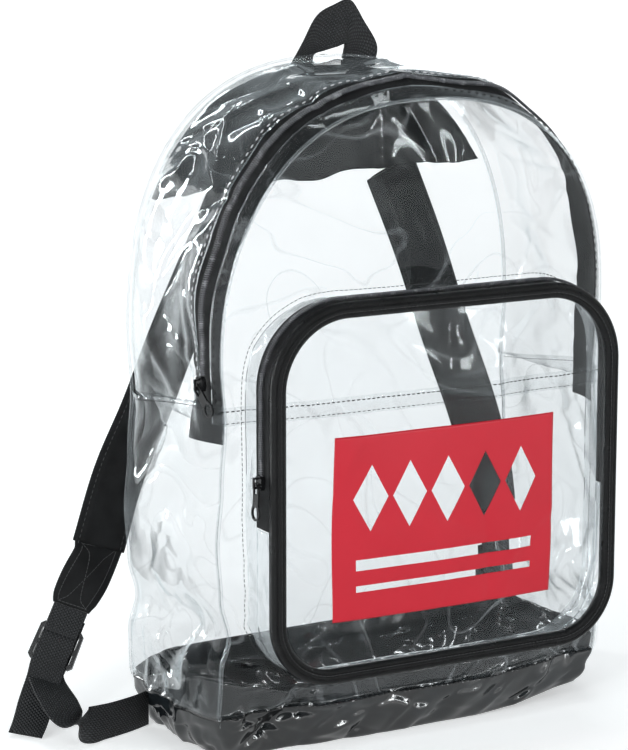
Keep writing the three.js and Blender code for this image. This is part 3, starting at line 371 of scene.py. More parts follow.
def front_face(x, z):
    """Depth of the front: the seam less its swell, its main folds, random creases and ripples."""
    x, z = np.broadcast_arrays(np.asarray(x, float), np.asarray(z, float))
    half = body_width / 2
    main = sum(fold(x, z, a * half, b * body_height, c * half, d * body_height,
                    wide * body_height, proud * body_depth) for a, b, c, d, wide, proud in front_folds)
    fine = ripple(x, z, 7, 80, 1.3) + creases(x, z, 8, 50, (-150, 100), (150, 430), (30, 150), 70, 3.5, 1.9)
    corner = smooth((-x - 50) / 60) * smooth(1 - (z - 60) / 80)
    low = corner * creases(x, z, 9, 50, (-160, 5), (-70, 120), (-80, 60), 50, 3.2, 4.2)
    low += smooth(1.5 - z / 60) * creases(x, z, 10, 46, (-150, 2), (155, 45), (-30, 60), 34, 2.4, 2.2)
    edge = smooth((1 - face_share(x, z, 0)) * 8)
    return front_seam(z) - swell(x, z, 0, front_bulge) - (main + fine + low) * edge


def back_face(x, z):
    """Depth of the back: the seam plus its swell and ripples."""
    x, z = np.broadcast_arrays(np.asarray(x, float), np.asarray(z, float))
    fine = ripple(x, z, 11, 90, 1.0) + creases(x, z, 12, 36, (-140, 40), (140, 420), (30, 150), 80, 5, 1.5)
    return back_seam(z) + swell(x, z, 1, back_bulge) + fine * smooth((1 - face_share(x, z, 1)) * 8)


# Meshes

def fill_mesh(name, points, faces, corner_uvs=None):
    """A smooth mesh object from points in millimetres, faces and each face corner's place on the cloth."""
    mesh = bpy.data.meshes.new(name)
    mesh.from_pydata((np.asarray(points, float) * MM).tolist(), [], faces)
    mesh.polygons.foreach_set("use_smooth", np.ones(len(mesh.polygons), bool))
    if corner_uvs is not None:
        mesh.uv_layers.new(name="cloth").data.foreach_set("uv", np.asarray(corner_uvs, np.float32).ravel())
    mesh.validate()
    piece = bpy.data.objects.new(name, mesh)
    bpy.context.scene.collection.objects.link(piece)
    return piece


def grid_faces(rows, columns, wrap_rows=False, wrap_columns=False):
    """Quads of a grid, and for each corner its row and column before wrapping."""
    i = np.arange(rows if wrap_rows else rows - 1)[:, None, None]
    j = np.arange(columns if wrap_columns else columns - 1)[None, :, None]
    row = (i + np.array([0, 1, 1, 0])).repeat(j.shape[1], axis=1).reshape(-1, 4)
    column = (j + np.array([0, 0, 1, 1])).repeat(i.shape[0], axis=0).reshape(-1, 4)
    return (row % rows) * columns + column % columns, row, column


def lengths_along(points, axis):
    """Mean length run along one way of a grid, from its first row."""
    steps = np.linalg.norm(np.diff(points, axis=axis), axis=-1).mean(axis=1 - axis)
    return np.concatenate([[0], np.cumsum(steps)])


def sheet_piece(name, points, thickness, middle=(0, 0, 230), wrap_rows=False, cap=False):
    """A sheet of some thickness over a grid of points, faced away from middle, its cloth places in metres."""
    rows, columns = points.shape[:2]
    quads, row, column = grid_faces(rows, columns, wrap_rows)
    closed = np.concatenate([points, points[:1]]) if wrap_rows else points
    us, vs = lengths_along(closed, 0), lengths_along(points, 1)
    flat = points.reshape(-1, 3)
    normal = np.cross(flat[quads[:, 2]] - flat[quads[:, 0]], flat[quads[:, 3]] - flat[quads[:, 1]])
    outwards = (normal * (flat[quads].mean(axis=1) - np.array(middle))).sum()
    if outwards < 0:
        quads, row, column = quads[:, ::-1], row[:, ::-1], column[:, ::-1]
    uvs = np.stack([us[row], vs[column]], axis=-1).reshape(-1, 2) * MM
    faces = quads.tolist()
    if cap:
        hub = (np.arange(rows) * columns).tolist()
        faces.append(hub if outwards > 0 else hub[::-1])
        uvs = np.concatenate([uvs, np.zeros((rows, 2))])
    piece = fill_mesh(name, flat, faces, uvs)
    wall = piece.modifiers.new("wall", "SOLIDIFY")
    wall.thickness = thickness * MM
    wall.offset = 0
    return piece


def carried(name, centres, sides, faces_out, profile, closed=False):
    """A closed profile carried along a path: each ring is centre + side * across + out * up, ends capped."""
    rings = centres[:, None] + sides[:, None] * profile[None, :, :1]
    rings = rings + faces_out[:, None] * profile[None, :, 1:]
    rows, columns = rings.shape[:2]
    quads, row, column = grid_faces(rows, columns, closed, True)
    run = np.linalg.norm(np.diff(np.concatenate([centres, centres[:1]]), axis=0), axis=1)
    us = np.concatenate([[0], np.cumsum(run)])
    vs = np.concatenate([profile, profile[:1]])[:, 0]
    flat = rings.reshape(-1, 3)
    volume = (np.cross(flat[quads[:, 0]], flat[quads[:, 1]]) * flat[quads[:, 2]]).sum()
    volume += (np.cross(flat[quads[:, 0]], flat[quads[:, 2]]) * flat[quads[:, 3]]).sum()
    if volume < 0:
        quads, row, column = quads[:, ::-1], row[:, ::-1], column[:, ::-1]
    faces = quads.tolist()
    uvs = np.stack([us[row], vs[column]], axis=-1).reshape(-1, 2) * MM
    if not closed:
        first = list(range(columns))
        last = list(range((rows - 1) * columns, rows * columns))
        faces += [first[::-1], last] if volume > 0 else [first, last[::-1]]
        uvs = np.concatenate([uvs, np.zeros((2 * columns, 2))])
    return fill_mesh(name, flat, faces, uvs)


def bead_shape(long, wide, tall, rings=5, around=6):
    """A small closed bead along x: round sections, each the square root of 1 - share to the 4th in size."""
    share = np.linspace(-0.92, 0.92, rings)[:, None]
    turn = np.linspace(0, 2 * np.pi, around, endpoint=False)[None, :]
    size = np.sqrt(1 - share ** 4)
    bead = (share * long / 2, size * np.cos(turn) * wide / 2, size * np.sin(turn) * tall / 2)
    points = np.stack(np.broadcast_arrays(*bead), axis=-1).reshape(-1, 3)
    quads = grid_faces(rings, around, False, True)[0][:, ::-1]
    ends = [[0, 1, 2, 3], [0, 3, 4, 5]]
    last = (rings - 1) * around
    ends += [[last, last + 3, last + 2, last + 1], [last, last + 5, last + 4, last + 3]]
    return points, np.concatenate([quads, np.array(ends)])


def repeated(name, shape, places, alongs, outs):
    """One small shape copied to each place, its x turned along and its z turned out."""
    points, quads = shape
    alongs = unit(alongs)
    outs = unit(outs - alongs * (alongs * outs).sum(axis=-1, keepdims=True))
    axes = np.stack([alongs, np.cross(outs, alongs), outs], axis=1)
    copies = places[:, None] + np.einsum("mk,nkc->nmc", points, axes)
    faces = quads[None] + len(points) * np.arange(len(places))[:, None, None]
    return fill_mesh(name, copies.reshape(-1, 3), faces.reshape(-1, 4).tolist())


def directions(points):
    """Direction of a line of points at each of them, from its neighbours."""
    return unit(np.gradient(points, axis=0))


def stitch_row(name, line, outs, pitch=3.4, gauge=thread_gauge, long=2.7):
    """A row of stitches along a line: beads a pitch apart, sunk a third into what they hold."""
    share, places = evenly(line, pitch)
    source = np.linspace(0, 1, len(line))
    run = np.concatenate([[0], np.cumsum(np.linalg.norm(np.diff(line, axis=0), axis=1))])
    at = np.interp(share * run[-1], run, source)
    out = np.stack([np.interp(at, source, outs[:, k]) for k in range(3)], axis=1)
    along = np.stack([np.interp(at, source, directions(line)[:, k]) for k in range(3)], axis=1)
    return repeated(name, bead_shape(long, gauge, gauge), places + out * gauge * 0.15, along, out)


def tooth_chain(name, centres, alongs, outs):
    """Closed zipper teeth: two rows of beads across the chain, each past its middle, half a pitch apart."""
    sides = np.cross(outs, alongs)
    hand = np.where(np.arange(len(centres)) % 2 == 0, 1.0, -1.0)[:, None]
    reach = coil_width * 0.6
    places = centres + sides * hand * (coil_width - reach) / 2
    return repeated(name, bead_shape(reach, tooth_pitch * 0.5, coil_height * 0.95), places, sides, outs)


def dress(piece, finish, slot, *nodes, body="bag"):
    """Gives a piece its finish and its body, and says which nodes it stands for; slot is not used."""
    piece.data.materials.append(finish)
    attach(piece, body)
    if nodes:
        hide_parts(*nodes)


# Finishes

class Value:
    """A number or colour that varies over a surface. Arithmetic on a number adds Math nodes."""

    def __init__(self, finish, socket):
        self.finish, self.socket = finish, socket

    def __add__(self, other):
        return self.finish.maths("ADD", self, other)

    def __mul__(self, other):
        return self.finish.maths("MULTIPLY", self, other)

    def __sub__(self, other):
        return self.finish.maths("SUBTRACT", self, other)

    def __rsub__(self, other):
        return self.finish.maths("SUBTRACT", other, self)

    def __pow__(self, other):
        return self.finish.maths("POWER", self, other)

    __radd__ = __add__
    __rmul__ = __mul__


class Finish:
    """A material built from nodes: node() takes a type, its settings and its sockets."""

    def __init__(self, name):
        self.material = bpy.data.materials.new(name)
        self.material.use_nodes = True
        self.tree = self.material.node_tree
        self.tree.nodes.clear()

    def node(self, kind, settings, sockets, output=0):
        """A node of a kind, its settings set first, then its sockets linked or set."""
        node = self.tree.nodes.new("ShaderNode" + kind)
        for key, value in settings.items():
            if key == "stops":
                ramp = node.color_ramp.elements
                while len(ramp) < len(value):
                    ramp.new(0.5)
                for stop, (place, grey) in zip(ramp, value):
                    stop.position, stop.color = place, (grey, grey, grey, 1)
            else:
                setattr(node, key, value)
        for key, value in sockets.items():
            if isinstance(value, Value):
                self.tree.links.new(value.socket, node.inputs[key])
            else:
                node.inputs[key].default_value = value
        return Value(self, node.outputs[output])

    def maths(self, operation, *values):
        return self.node("Math", {"operation": operation}, dict(enumerate(values)))

    def places(self):
        """Object coordinates, in metres."""
        return self.node("TexCoord", {}, {}, "Object")

    def cloth(self):
        """The run along and across the cloth, in millimetres."""
        uv = self.node("UVMap", {"uv_map": "cloth"}, {})
        split = self.tree.nodes.new("ShaderNodeSeparateXYZ")
        self.tree.links.new(uv.socket, split.inputs[0])
        return Value(self, split.outputs[0]) * 1000, Value(self, split.outputs[1]) * 1000

    def noise(self, scale, detail=3.0, roughness=0.5, warp=0.0):
        settings = {"noise_dimensions": "3D"}
        sockets = {"Vector": self.places(), "Scale": scale, "Detail": detail, "Roughness": roughness,
                   "Distortion": warp}
        return self.node("TexNoise", settings, sockets, 0)

    def ramp(self, value, *stops):
        return self.node("ValToRGB", {"stops": stops}, {"Fac": value})

    def tint(self, share, low, high):
        """A colour between two colours."""
        mixed = self.node("Mix", {"data_type": "RGBA"}, {0: share, 6: (*low, 1), 7: (*high, 1)}, 2)
        return mixed

    def bump(self, height, distance, strength=1.0):
        return self.node("Bump", {}, {"Height": height, "Distance": distance * MM, "Strength": strength})

    def shader(self, **sockets):
        named = {key.replace("_", " "): value for key, value in sockets.items()}
        return self.node("BsdfPrincipled", {}, named)

    def close(self, surface):
        output = self.tree.nodes.new("ShaderNodeOutputMaterial")
        self.tree.links.new(surface.socket, output.inputs[0])
        return self.material


def clear_vinyl(name, grey=0.44, smoke_and_shade=0.0, sharpness=5.0, scale=7, relief=1.5, through=0.955):
    """Clear sheet: see-through face on, glossier where it is seen along, with pulled creases. It turns
    greyer where it is seen along and along its crease lines: a grey skin painted in as painted shade.

    grey is the tone of its skin, smoke_and_shade the grey skin added all over (cloudiness, and painted shade
    on the gusset), sharpness how fast it clears towards face on, scale and relief the noise scale and height
    of its creases, and through the share of light that passes (less on the gusset, as painted shade).
    """
    finish = Finish(name)
    pulled = finish.noise(scale, 1.2, 0.4, 1.6)
    normal = finish.bump(pulled + finish.maths("ABSOLUTE", pulled - 0.5) * 2.5, relief)
    facing = finish.node("LayerWeight", {}, {"Blend": 0.5, "Normal": normal}, 1)
    haze = finish.ramp(finish.noise(11, 2.5, 0.6), (0.35, 0.0), (0.7, 1.0))
    # Thin grey lines painted where the crease noise crosses its middle, along the bump's crease valleys:
    # painted shade.
    painted_crease_lines = finish.ramp(finish.maths("ABSOLUTE", pulled - 0.5), (0.0, 1.0), (0.011, 0.0))
    # The grey skin's share grows towards grazing and along those lines, as painted shade for dark edges and
    # creases; haze adds random cloudiness.
    shade = facing ** sharpness * 0.6 + haze * (0.007 + smoke_and_shade) + painted_crease_lines * (haze * 0.12 + 0.012) + 0.001 + smoke_and_shade
    tone = finish.tint(haze, (grey * 0.94, grey, grey * 1.03), (grey * 1.18, grey * 1.25, grey * 1.3))
    skin = finish.shader(Base_Color=tone, Roughness=haze * 0.08 + 0.1, Normal=normal)
    clear = finish.node("BsdfTransparent", {}, {"Color": (through, through + 0.004, through + 0.006, 1)})
    film_look = finish.node("MixShader", {}, {0: shade, 1: clear, 2: skin})
    gleam = finish.node("BsdfGlossy", {}, {"Color": (0.95, 0.99, 1, 1), "Roughness": 0.06, "Normal": normal})
    mirror = facing ** 5 * 0.9 + 0.008
    return finish.close(finish.node("MixShader", {}, {0: mirror, 1: film_look, 2: gleam}))


def black_vinyl():
    """Glossy black coated cloth, softly crumpled, with dusty scuffs."""
    finish = Finish("black coated cloth")
    folds = finish.noise(16, 1.5, 0.45, 0.8)
    normal = finish.bump(folds + finish.maths("ABSOLUTE", folds - 0.5) * 0.6, 5.0)
    dust = finish.ramp(finish.noise(24, 5.0, 0.6), (0.45, 0.0), (0.75, 1.0))
    return finish.close(finish.shader(
        Base_Color=finish.tint(dust, (0.0016, 0.0022, 0.0026), (0.009, 0.012, 0.014)),
        Roughness=dust * 0.12 + 0.1, Normal=normal, Specular_IOR_Level=0.7))


def black_cloth(name, pitch=0.55, rough=0.72, relief=0.12, tone=0.016):
    """Plain black woven nylon: over and under threads across both ways of the cloth."""
    finish = Finish(name)
    along, across = finish.cloth()
    step = 2 * np.pi / pitch
    weave = finish.maths("SINE", along * step) * finish.maths("SINE", across * step)
    wear = finish.noise(70, 4.0, 0.6)
    normal = finish.bump(weave * 0.5 + wear * 1.5, relief)
    shade = finish.ramp(wear, (0.3, 0.0), (0.75, 1.0))
    fresh = (tone * 0.6, tone * 0.62, tone * 0.66)
    worn = (tone * 1.7, tone * 1.75, tone * 1.85)
    return finish.close(finish.shader(
        Base_Color=finish.tint(shade, fresh, worn),
        Roughness=rough - shade * 0.12, Normal=normal, Specular_IOR_Level=0.14))


def black_webbing():
    """Ribbed webbing: plump floats in staggered rows, each with a painted glint on its crown and painted
    shade between them.
    """
    finish = Finish("black ribbed webbing")
    along, across = finish.cloth()
    rib = finish.maths("SINE", across * (2 * np.pi / 3.1))
    beat = finish.maths("SINE", along * (2 * np.pi / 2.4) + finish.maths("SIGN", rib) * (np.pi / 2))
    floats = finish.maths("ABSOLUTE", rib) * (beat * 0.5 + 0.5)
    wear = finish.noise(90, 3.0)
    normal = finish.bump(floats + wear * 0.4, 0.6)
    return finish.close(finish.shader(
        # Base colour near black between the floats and lighter on their crowns: painted shade and painted
        # highlight.
        Base_Color=finish.tint(floats, (0.001, 0.001, 0.0012), (0.026, 0.028, 0.031)),
        Roughness=0.62 - floats * 0.2, Normal=normal, Specular_IOR_Level=0.3))


def black_moulding(name="black moulding", rough=0.24, tone=0.005, gloss=0.25):
    """Moulded or enamelled black: fine pebble, and random patches rubbed brighter."""
    finish = Finish(name)
    pebble = finish.noise(1400, 2.0)
    scuff = finish.ramp(finish.noise(160, 4.0, 0.65), (0.5, 0.0), (0.8, 1.0))
    normal = finish.bump(pebble, 0.03)
    return finish.close(finish.shader(
        Base_Color=finish.tint(scuff, (tone, tone, tone * 1.1), (tone * 4, tone * 4, tone * 4.2)),
        Roughness=scuff * 0.25 + rough, Normal=normal, Specular_IOR_Level=gloss))


def red_print():
    """Red ink on the film, with a row of lozenges and two bars left clear in it."""
    finish = Finish("red ink on film")
    along, across = finish.cloth()
    masks = []
    for centre in (0.16, 0.33, 0.5, 0.67, 0.84):
        away = finish.maths("ABSOLUTE", along - centre * print_width) * (2 / (0.15 * print_width))
        above = finish.maths("ABSOLUTE", across - 0.66 * print_tall) * (2 / (0.36 * print_tall))
        masks.append(finish.maths("LESS_THAN", away + above, 1.0))
    for up, tall in ((0.3, 0.06), (0.17, 0.035)):
        beside = finish.maths("ABSOLUTE", along - 0.5 * print_width)
        above = finish.maths("ABSOLUTE", across - up * print_tall)
        within = finish.maths("LESS_THAN", beside, 0.4 * print_width)
        masks.append(within * finish.maths("LESS_THAN", above, tall / 2 * print_tall))
    left_out = sum(masks)
    blotch = finish.noise(30, 4.0, 0.6)
    normal = finish.bump(finish.noise(30, 2.0, 0.5, 0.5) + finish.noise(700, 2.0) * 0.05, 0.5)
    ink = finish.shader(
        Base_Color=finish.tint(blotch, (0.37, 0.009, 0.019), (0.43, 0.012, 0.025)),
        Roughness=blotch * 0.1 + 0.3, Normal=normal, Specular_IOR_Level=0.2)
    clear = finish.node("BsdfTransparent", {}, {"Color": (0.99, 0.99, 0.99, 1)})
    solid_ink = 1 - finish.maths("MINIMUM", left_out, 1.0)
    return finish.close(finish.node("MixShader", {}, {0: solid_ink * 0.97, 1: clear, 2: ink}))


def thread(name, tone):
    """Twisted thread: fine slanted grain on a matt colour, painted darker in the grain's hollows and lighter
    on its crowns as shade and highlight.
    """
    finish = Finish(name)
    twist = finish.noise(2500, 1.0)
    # Darker where the grain's bump is low, lighter where it is high: painted shade and painted highlight.
    shaded_hollow = (tone * 0.6, tone * 0.6, tone * 0.62)
    crown = (tone * 1.4, tone * 1.4, tone * 1.45)
    return finish.close(finish.shader(
        Base_Color=finish.tint(twist, shaded_hollow, crown),
        Roughness=twist * 0.2 + 0.5, Normal=finish.bump(twist, 0.08)))


def pale_floor():
    """Plain pale studio floor, lit a little from below, more so further out."""
    finish = Finish("pale floor")
    mottle = finish.noise(1.5, 2.0)
    away = finish.node("VectorMath", {"operation": "LENGTH"}, {0: finish.places()}, 1)
    finish.material.cycles.emission_sampling = "NONE"
    return finish.close(finish.shader(
        Base_Color=finish.tint(mottle, (0.9, 0.9, 0.9), (0.92, 0.92, 0.92)), Roughness=mottle * 0.05 + 0.8,
        Specular_IOR_Level=0.1, Emission_Color=finish.ramp(away * 0.3, (0.08, 0.36), (1.0, 0.8)),
        Emission_Strength=1.0))


sheet_vinyl = clear_vinyl("clear vinyl sheet")
# The gusset and side films are the same clear vinyl made darker and greyer, with less light passing: painted
# shade for the sides.
shaded_gusset_vinyl = clear_vinyl("clear gusset with painted shade", 0.32, 0.006, 4.2, 12, 2.4, 0.935)
edge_vinyl = clear_vinyl("clear rolled edge", 0.5, 0.03, 2.6, 20, 1.2)
coated = black_vinyl()
tape_cloth = black_cloth("black zipper tape", 0.5, 0.6, 0.1, 0.008)
yoke_cloth = black_cloth("black yoke cloth", 0.8, 0.75, 0.2, 0.002)
binding_cloth = black_cloth("black binding", 0.6, 0.36, 0.12, 0.003)
strap_cloth = black_cloth("black strap nylon", 0.7, 0.6, 0.15, 0.005)
webbing = black_webbing()
moulding = black_moulding()
# The black coil's base colour is raised well above black: painted highlight, so that the teeth read as light
# dots.
coil_nylon = black_moulding("black coil nylon", 0.14, 0.1, 0.8)
ink = red_print()
black_thread = thread("black thread", 0.004)
strap_thread = thread("strap thread", 0.035)
# Pale grey thread for the rear row of zipper stitches.
grey_thread = thread("pale thread", 0.5)


# Body sheets

def cap_panel(paths, depth, reach, face, out, columns=110):
    """A face of the body: rows across at places on the outline, each point at share * half width."""
    share = np.linspace(-1, 1, columns)[None, :]
    half, z = panel_edge(paths, np.full_like(paths, depth), reach)
    x = half[:, None] * share
    z = np.broadcast_to(z[:, None], x.shape)
    return np.stack([x, face(x, z) + out, z + lift(x, z)], axis=-1)


def build_body():
    """The clear sheets, the zipper's tape and the rolled edges of both faces."""
    middle = vinyl / 2
    arch = 1 - np.cos(np.linspace(0, 1, 70) * np.pi / 2)
    band_foot = belt_height - belt_overlap
    upper = np.concatenate([arch, np.linspace(1, path_of(band_foot), 16)[1:]])
    upper[0] = 0.004
    dress(sheet_piece("front_sheet_upper", cap_panel(upper, 0, seam_lip, front_face, -middle), film),
          sheet_vinyl, "clear_vinyl", "front_panel_upper")
    lower = np.linspace(path_of(belt_height), path_of(base_seam - 4), 84)
    low_panel = cap_panel(lower, 0, seam_lip + layer, front_face, -layer - middle)
    dress(sheet_piece("front_sheet_lower", low_panel, film), sheet_vinyl, "clear_vinyl", "front_panel_lower")
    back = np.concatenate([arch, np.linspace(1, path_of(base_seam - 4), 90)[1:]])
    back[0] = 0.004
    dress(sheet_piece("back_sheet", cap_panel(back, 1, seam_lip + layer, back_face, middle), film),
          sheet_vinyl, "clear_vinyl", "back_panel")

    legs = np.linspace(path_of(band_foot), 1, 12)[:-1]
    over = np.concatenate([-legs, np.linspace(-1, 1, 240), legs[::-1]])
    strip = gusset(over[:, None], np.linspace(0, front_strip_to, 7)[None, :], middle)
    dress(sheet_piece("gusset_front_film", strip, film), shaded_gusset_vinyl, "clear_vinyl", "gusset_front_strip")
    rear = gusset(over[:, None], np.linspace(rear_strip_from, 1, 44)[None, :], middle)
    dress(sheet_piece("gusset_rear_film", rear, film), shaded_gusset_vinyl, "clear_vinyl", "gusset_rear_strip")
    tail_legs = np.linspace(path_of(band_foot - tape_tail), 1, 14)[:-1]
    taped = np.concatenate([-tail_legs, np.linspace(-1, 1, 220), tail_legs[::-1]])
    tape = gusset(taped[:, None], np.linspace(tape_from, tape_to, 16)[None, :], -middle - 0.15)
    dress(sheet_piece("main_tape", tape, 0.7), tape_cloth, "black_nylon", "main_zip_tape")

    for hand, word in ((-1, "left"), (1, "right")):
        rows = hand * np.linspace(path_of(belt_height), path_of(base_seam - 4), 90)
        depth = np.linspace(0, 1, 56)
        side = gusset(rows[:, None], depth[None, :], layer + middle)
        side[..., 2] -= belt_overlap * smooth(depth - 0.1)[None, :] * smooth(1 - np.arange(90) / 30)[:, None]
        dress(sheet_piece("side_film_" + word, side, film), shaded_gusset_vinyl, "clear_vinyl", "side_panel_" + word)

    for name, depth, reach in (("front_edge_roll", 0.0, seam_lip), ("back_edge_roll", 1.0, seam_lip + layer)):
        run = np.concatenate([-np.linspace(path_of(base_seam), 1, 60)[:-1], np.linspace(-1, 1, 160),
                              np.linspace(1, path_of(base_seam), 60)[1:]])
        x, z = panel_edge(run, np.full_like(run, depth), reach - 1)
        y = front_seam(z) - 1.2 if depth == 0 else back_seam(z) + 1
        centre = np.stack([x, y, z + lift(x, z)], axis=1)
        along = directions(centre)
        out = unit(np.cross(along, np.array([0.0, 1.0, 0.0])))
        turn = np.linspace(0, 2 * np.pi, 10, endpoint=False)
        ring = np.stack([np.cos(turn), np.sin(turn) * 0.7], axis=1) * 1.5
        dress(carried(name, centre, np.cross(out, along), out, ring), edge_vinyl, "clear_vinyl")


def build_seams():
    """Stitch rows round the belt and the base, and along both sides of the main zipper."""
    middle = vinyl / 2
    x = np.linspace(-150, 150, 240)
    forwards = np.tile([0.0, -1.0, 0.0], (len(x), 1))
    for name, z, gauge in (("belt_stitches_front", belt_height - 3, 0.85),
                           ("belt_stitches_front_low", belt_height - belt_overlap + 2, thread_gauge)):
        level = np.full_like(x, z)
        line = np.stack([x, front_face(x, level) - layer - middle - film / 2, level], axis=1)
        dress(stitch_row(name, line, forwards, 3.8, gauge), black_thread, "black_nylon")
    low = np.full_like(x, base_seam)
    line = np.stack([x, front_face(x, low) - layer - vinyl - 0.8, low + lift(x, low)], axis=1)
    dress(stitch_row("base_stitches_front", line, forwards, 4.2, 1.1, 3.2), black_thread, "black_nylon")
    for hand, word in ((-1, "left"), (1, "right")):
        depth = np.linspace(0.03, 0.97, 80)
        for name, height, out in (("belt_stitches_", belt_height - 3, layer + vinyl),
                                  ("base_stitches_", base_seam, 3.4)):
            path = np.full_like(depth, hand * path_of(height))
            line = gusset(path, depth, out)
            if height > base_seam:
                line[:, 2] -= belt_overlap * smooth(depth - 0.1)
            dress(stitch_row(name + word, line, gusset_normal(path, depth)), black_thread, "black_nylon")
    over = np.linspace(-path_of(belt_height), path_of(belt_height), 400)
    for name, at, yarn in (("zip_stitches_front", 0.06, black_thread),
                           ("zip_stitches_rear", rear_strip_from + 0.025, grey_thread)):
        depth = np.full_like(over, at)
        line = gusset(over, depth, middle + film / 2)
        dress(stitch_row(name, line, gusset_normal(over, depth), 6.0, 0.9, 3.0), yarn, "black_nylon")


def build_main_zip():
    """The main zipper's teeth, evenly spaced over the gusset from the slider to the far end."""
    start = -path_of(main_slider_height + slider_length / 2)
    end = path_of(belt_height)
    run = np.linspace(start, end, 900)
    _, spaced = evenly(np.column_stack([gusset(run, coil_at, 0), run]), tooth_pitch / 2)
    path = spaced[:, 3]
    depth = np.full_like(path, coil_at)
    outs = gusset_normal(path, depth)
    centres = gusset(path, depth, 0.1 + coil_height / 2)
    chain = tooth_chain("main_teeth", centres, directions(centres), outs)
    dress(chain, coil_nylon, "coil_nylon", "main_zip_coil")


# Base

def build_base():
    """Black base: floor rings grow to the outline, then come a bulging band, the seam and a raw upstand."""
    front = np.linspace(-1, 1, 150)
    side = np.linspace(0, 1, 70)[1:-1]
    band = np.concatenate([np.linspace(0.6, base_seam - 1, 22), [base_seam, base_seam + 1.5]])
    rise = np.linspace(0, 1, 10)[1:]
    corners = np.cumsum([len(front), len(side), len(front)])
    count = 2 * len(front) + 2 * len(side)

    def ring(z, out):
        """One ring round the body at heights z, moved out by out."""
        z_front, z_right, z_back, z_left = np.split(z, corners)
        out_front, out_right, out_back, out_left = np.split(out, corners)
        x = front * (half_width(z_front, np.zeros_like(z_front)) + out_front * 0.5)
        front_points = np.stack([x, front_face(x, z_front) - out_front, z_front + lift(x, z_front)], axis=1)
        x = -front * (half_width(z_back, np.ones_like(z_back)) + out_back * 0.5)
        back_points = np.stack([x, back_face(x, z_back) + out_back, z_back + lift(x, z_back)], axis=1)
        right = gusset(path_of(z_right), side, out_right)
        left = gusset(-path_of(z_left), side[::-1], out_left)
        return np.concatenate([front_points, right, back_points, left])

    flat = np.full(count, 1.0)
    first = ring(flat * band[0], flat * (layer + vinyl))
    height = first[:, 1] * 0.0 + base_top
    height += 14 * smooth((-first[:, 0] - 90) / 60) * smooth((10 - first[:, 1]) / 50)
    height -= 12 * smooth((-first[:, 0] - 120) / 30) * smooth((first[:, 1] - 10) / 40)
    height += creases(first[:, 0], first[:, 1], 21, 30, (-160, -70), (160, 70), (0, 180), 40, 4, 2)
    floor_rings = []
    for share in (0.03, 0.3, 0.6, 0.85, 0.97):
        point = first * share
        point[:, 2] = 0.6 + lift(point[:, 0], flat * 0)
        floor_rings.append(point)
    wall = []
    around = 900  # about the length of the outline
    run = np.linspace(0, around, count)
    for z in band:
        belly = np.sin(np.pi * min(z / base_seam, 1))
        crumple = ripple(run, flat * z, 22, 26, 1.3)
        crumple += creases(run, flat * z, 23, 70, (0, 0), (around, 32), (-50, 50), 22, 2.5, 1.6)
        bulge = (2.2 + crumple) * belly if z <= base_seam else -3.2
        wall.append(ring(flat * z, flat * (layer + vinyl) + bulge))
    for share in rise:
        wall.append(ring(blend(base_seam + 1.5, height, share), flat * -0.4))
    grid = np.stack(floor_rings + wall, axis=1)
    piece = sheet_piece("base_shell", grid, 0.9, (0, 0, 60), wrap_rows=True, cap=True)
    dress(piece, coated, "black_vinyl", "base_tray")


# Pocket

def rim_line(inset=0.0, count=1400):
    """The pocket's rim: straight sides and round corners, from the middle of its foot up the right side."""
    w, foot, top = pocket_width / 2 - inset, pocket_foot + inset, pocket_foot + pocket_tall - inset
    rt, rf = pocket_corner_top - inset, pocket_corner_foot - inset
    arc = np.linspace(0, np.pi / 2, 40)

    def corner(x, z, r, start):
        """A quarter turn round a point."""
        return np.stack([x + r * np.cos(arc + start), z + r * np.sin(arc + start)], axis=1)

    line = np.concatenate([
        [(0, foot)], corner(w - rf, foot + rf, rf, -np.pi / 2), corner(w - rt, top - rt, rt, 0),
        corner(-w + rt, top - rt, rt, np.pi / 2), corner(-w + rf, foot + rf, rf, np.pi), [(0, foot)]])
    run = np.concatenate([[0], np.cumsum(np.linalg.norm(np.diff(line, axis=0), axis=1))])
    at = np.linspace(0, run[-1], count)
    x, z = np.interp(at, run, line[:, 0]), np.interp(at, run, line[:, 1])
    along = unit(np.gradient(np.stack([x, z], axis=1), axis=0))
    along[0] = along[-1] = (1.0, 0.0)
    return np.stack([x + pocket_shift, z, along[:, 1], -along[:, 0]], axis=1)


rim = rim_line()


def rim_part(low_share, high_share, count):
    """Rim places evenly between two shares of the way round; shares past 1 run on from the start."""
    at = np.linspace(low_share, high_share, count) % 1.0
    source = np.linspace(0, 1, len(rim))
    return np.stack([np.interp(at, source, rim[:, k]) for k in range(4)], axis=1)


def rim_share_at(height, hand):
    """Share of the way round at which one side of the rim passes a height."""
    half = rim[: len(rim) // 2]
    found = np.argmax((half[:, 1] > height) & (half[:, 0] > 0)) / (len(rim) - 1)
    return found if hand > 0 else 1 - found


def pocket_panel(x, z):
    """Depth of the pocket's face: rim less bulge * (1 - share squared), share from cubes across and up."""
    middle = pocket_foot + pocket_tall / 2
    across = np.abs((x - pocket_shift) / (pocket_width / 2))
    up = np.abs((z - middle) / (pocket_tall / 2))
    share = np.clip((across ** 3 + up ** 3) ** (1 / 3), 0, 1)
    fine = ripple(x, z, 31, 80, 0.6) + creases(x, z, 32, 22, (-120, 70), (120, 300), (-40, 220), 60, 4, 0.9)
    return -pocket_rim - pocket_bulge * (1 - share ** 2) - fine * smooth((1 - share) * 6)


def rim_wall(part, y_from, y_to, out, rows=9):
    """A wall of the pocket: the rim moved outwards in its own plane, from one depth to another."""
    k = np.linspace(0, 1, rows)[None, :]
    y = blend(np.asarray(y_from)[..., None] * np.ones((len(part), 1)), np.asarray(y_to)[..., None], k)
    x = (part[:, 0] + part[:, 2] * out)[:, None] + 0 * k
    z = (part[:, 1] + part[:, 3] * out)[:, None] + 0 * k
    return np.stack([x, y, z], axis=-1)


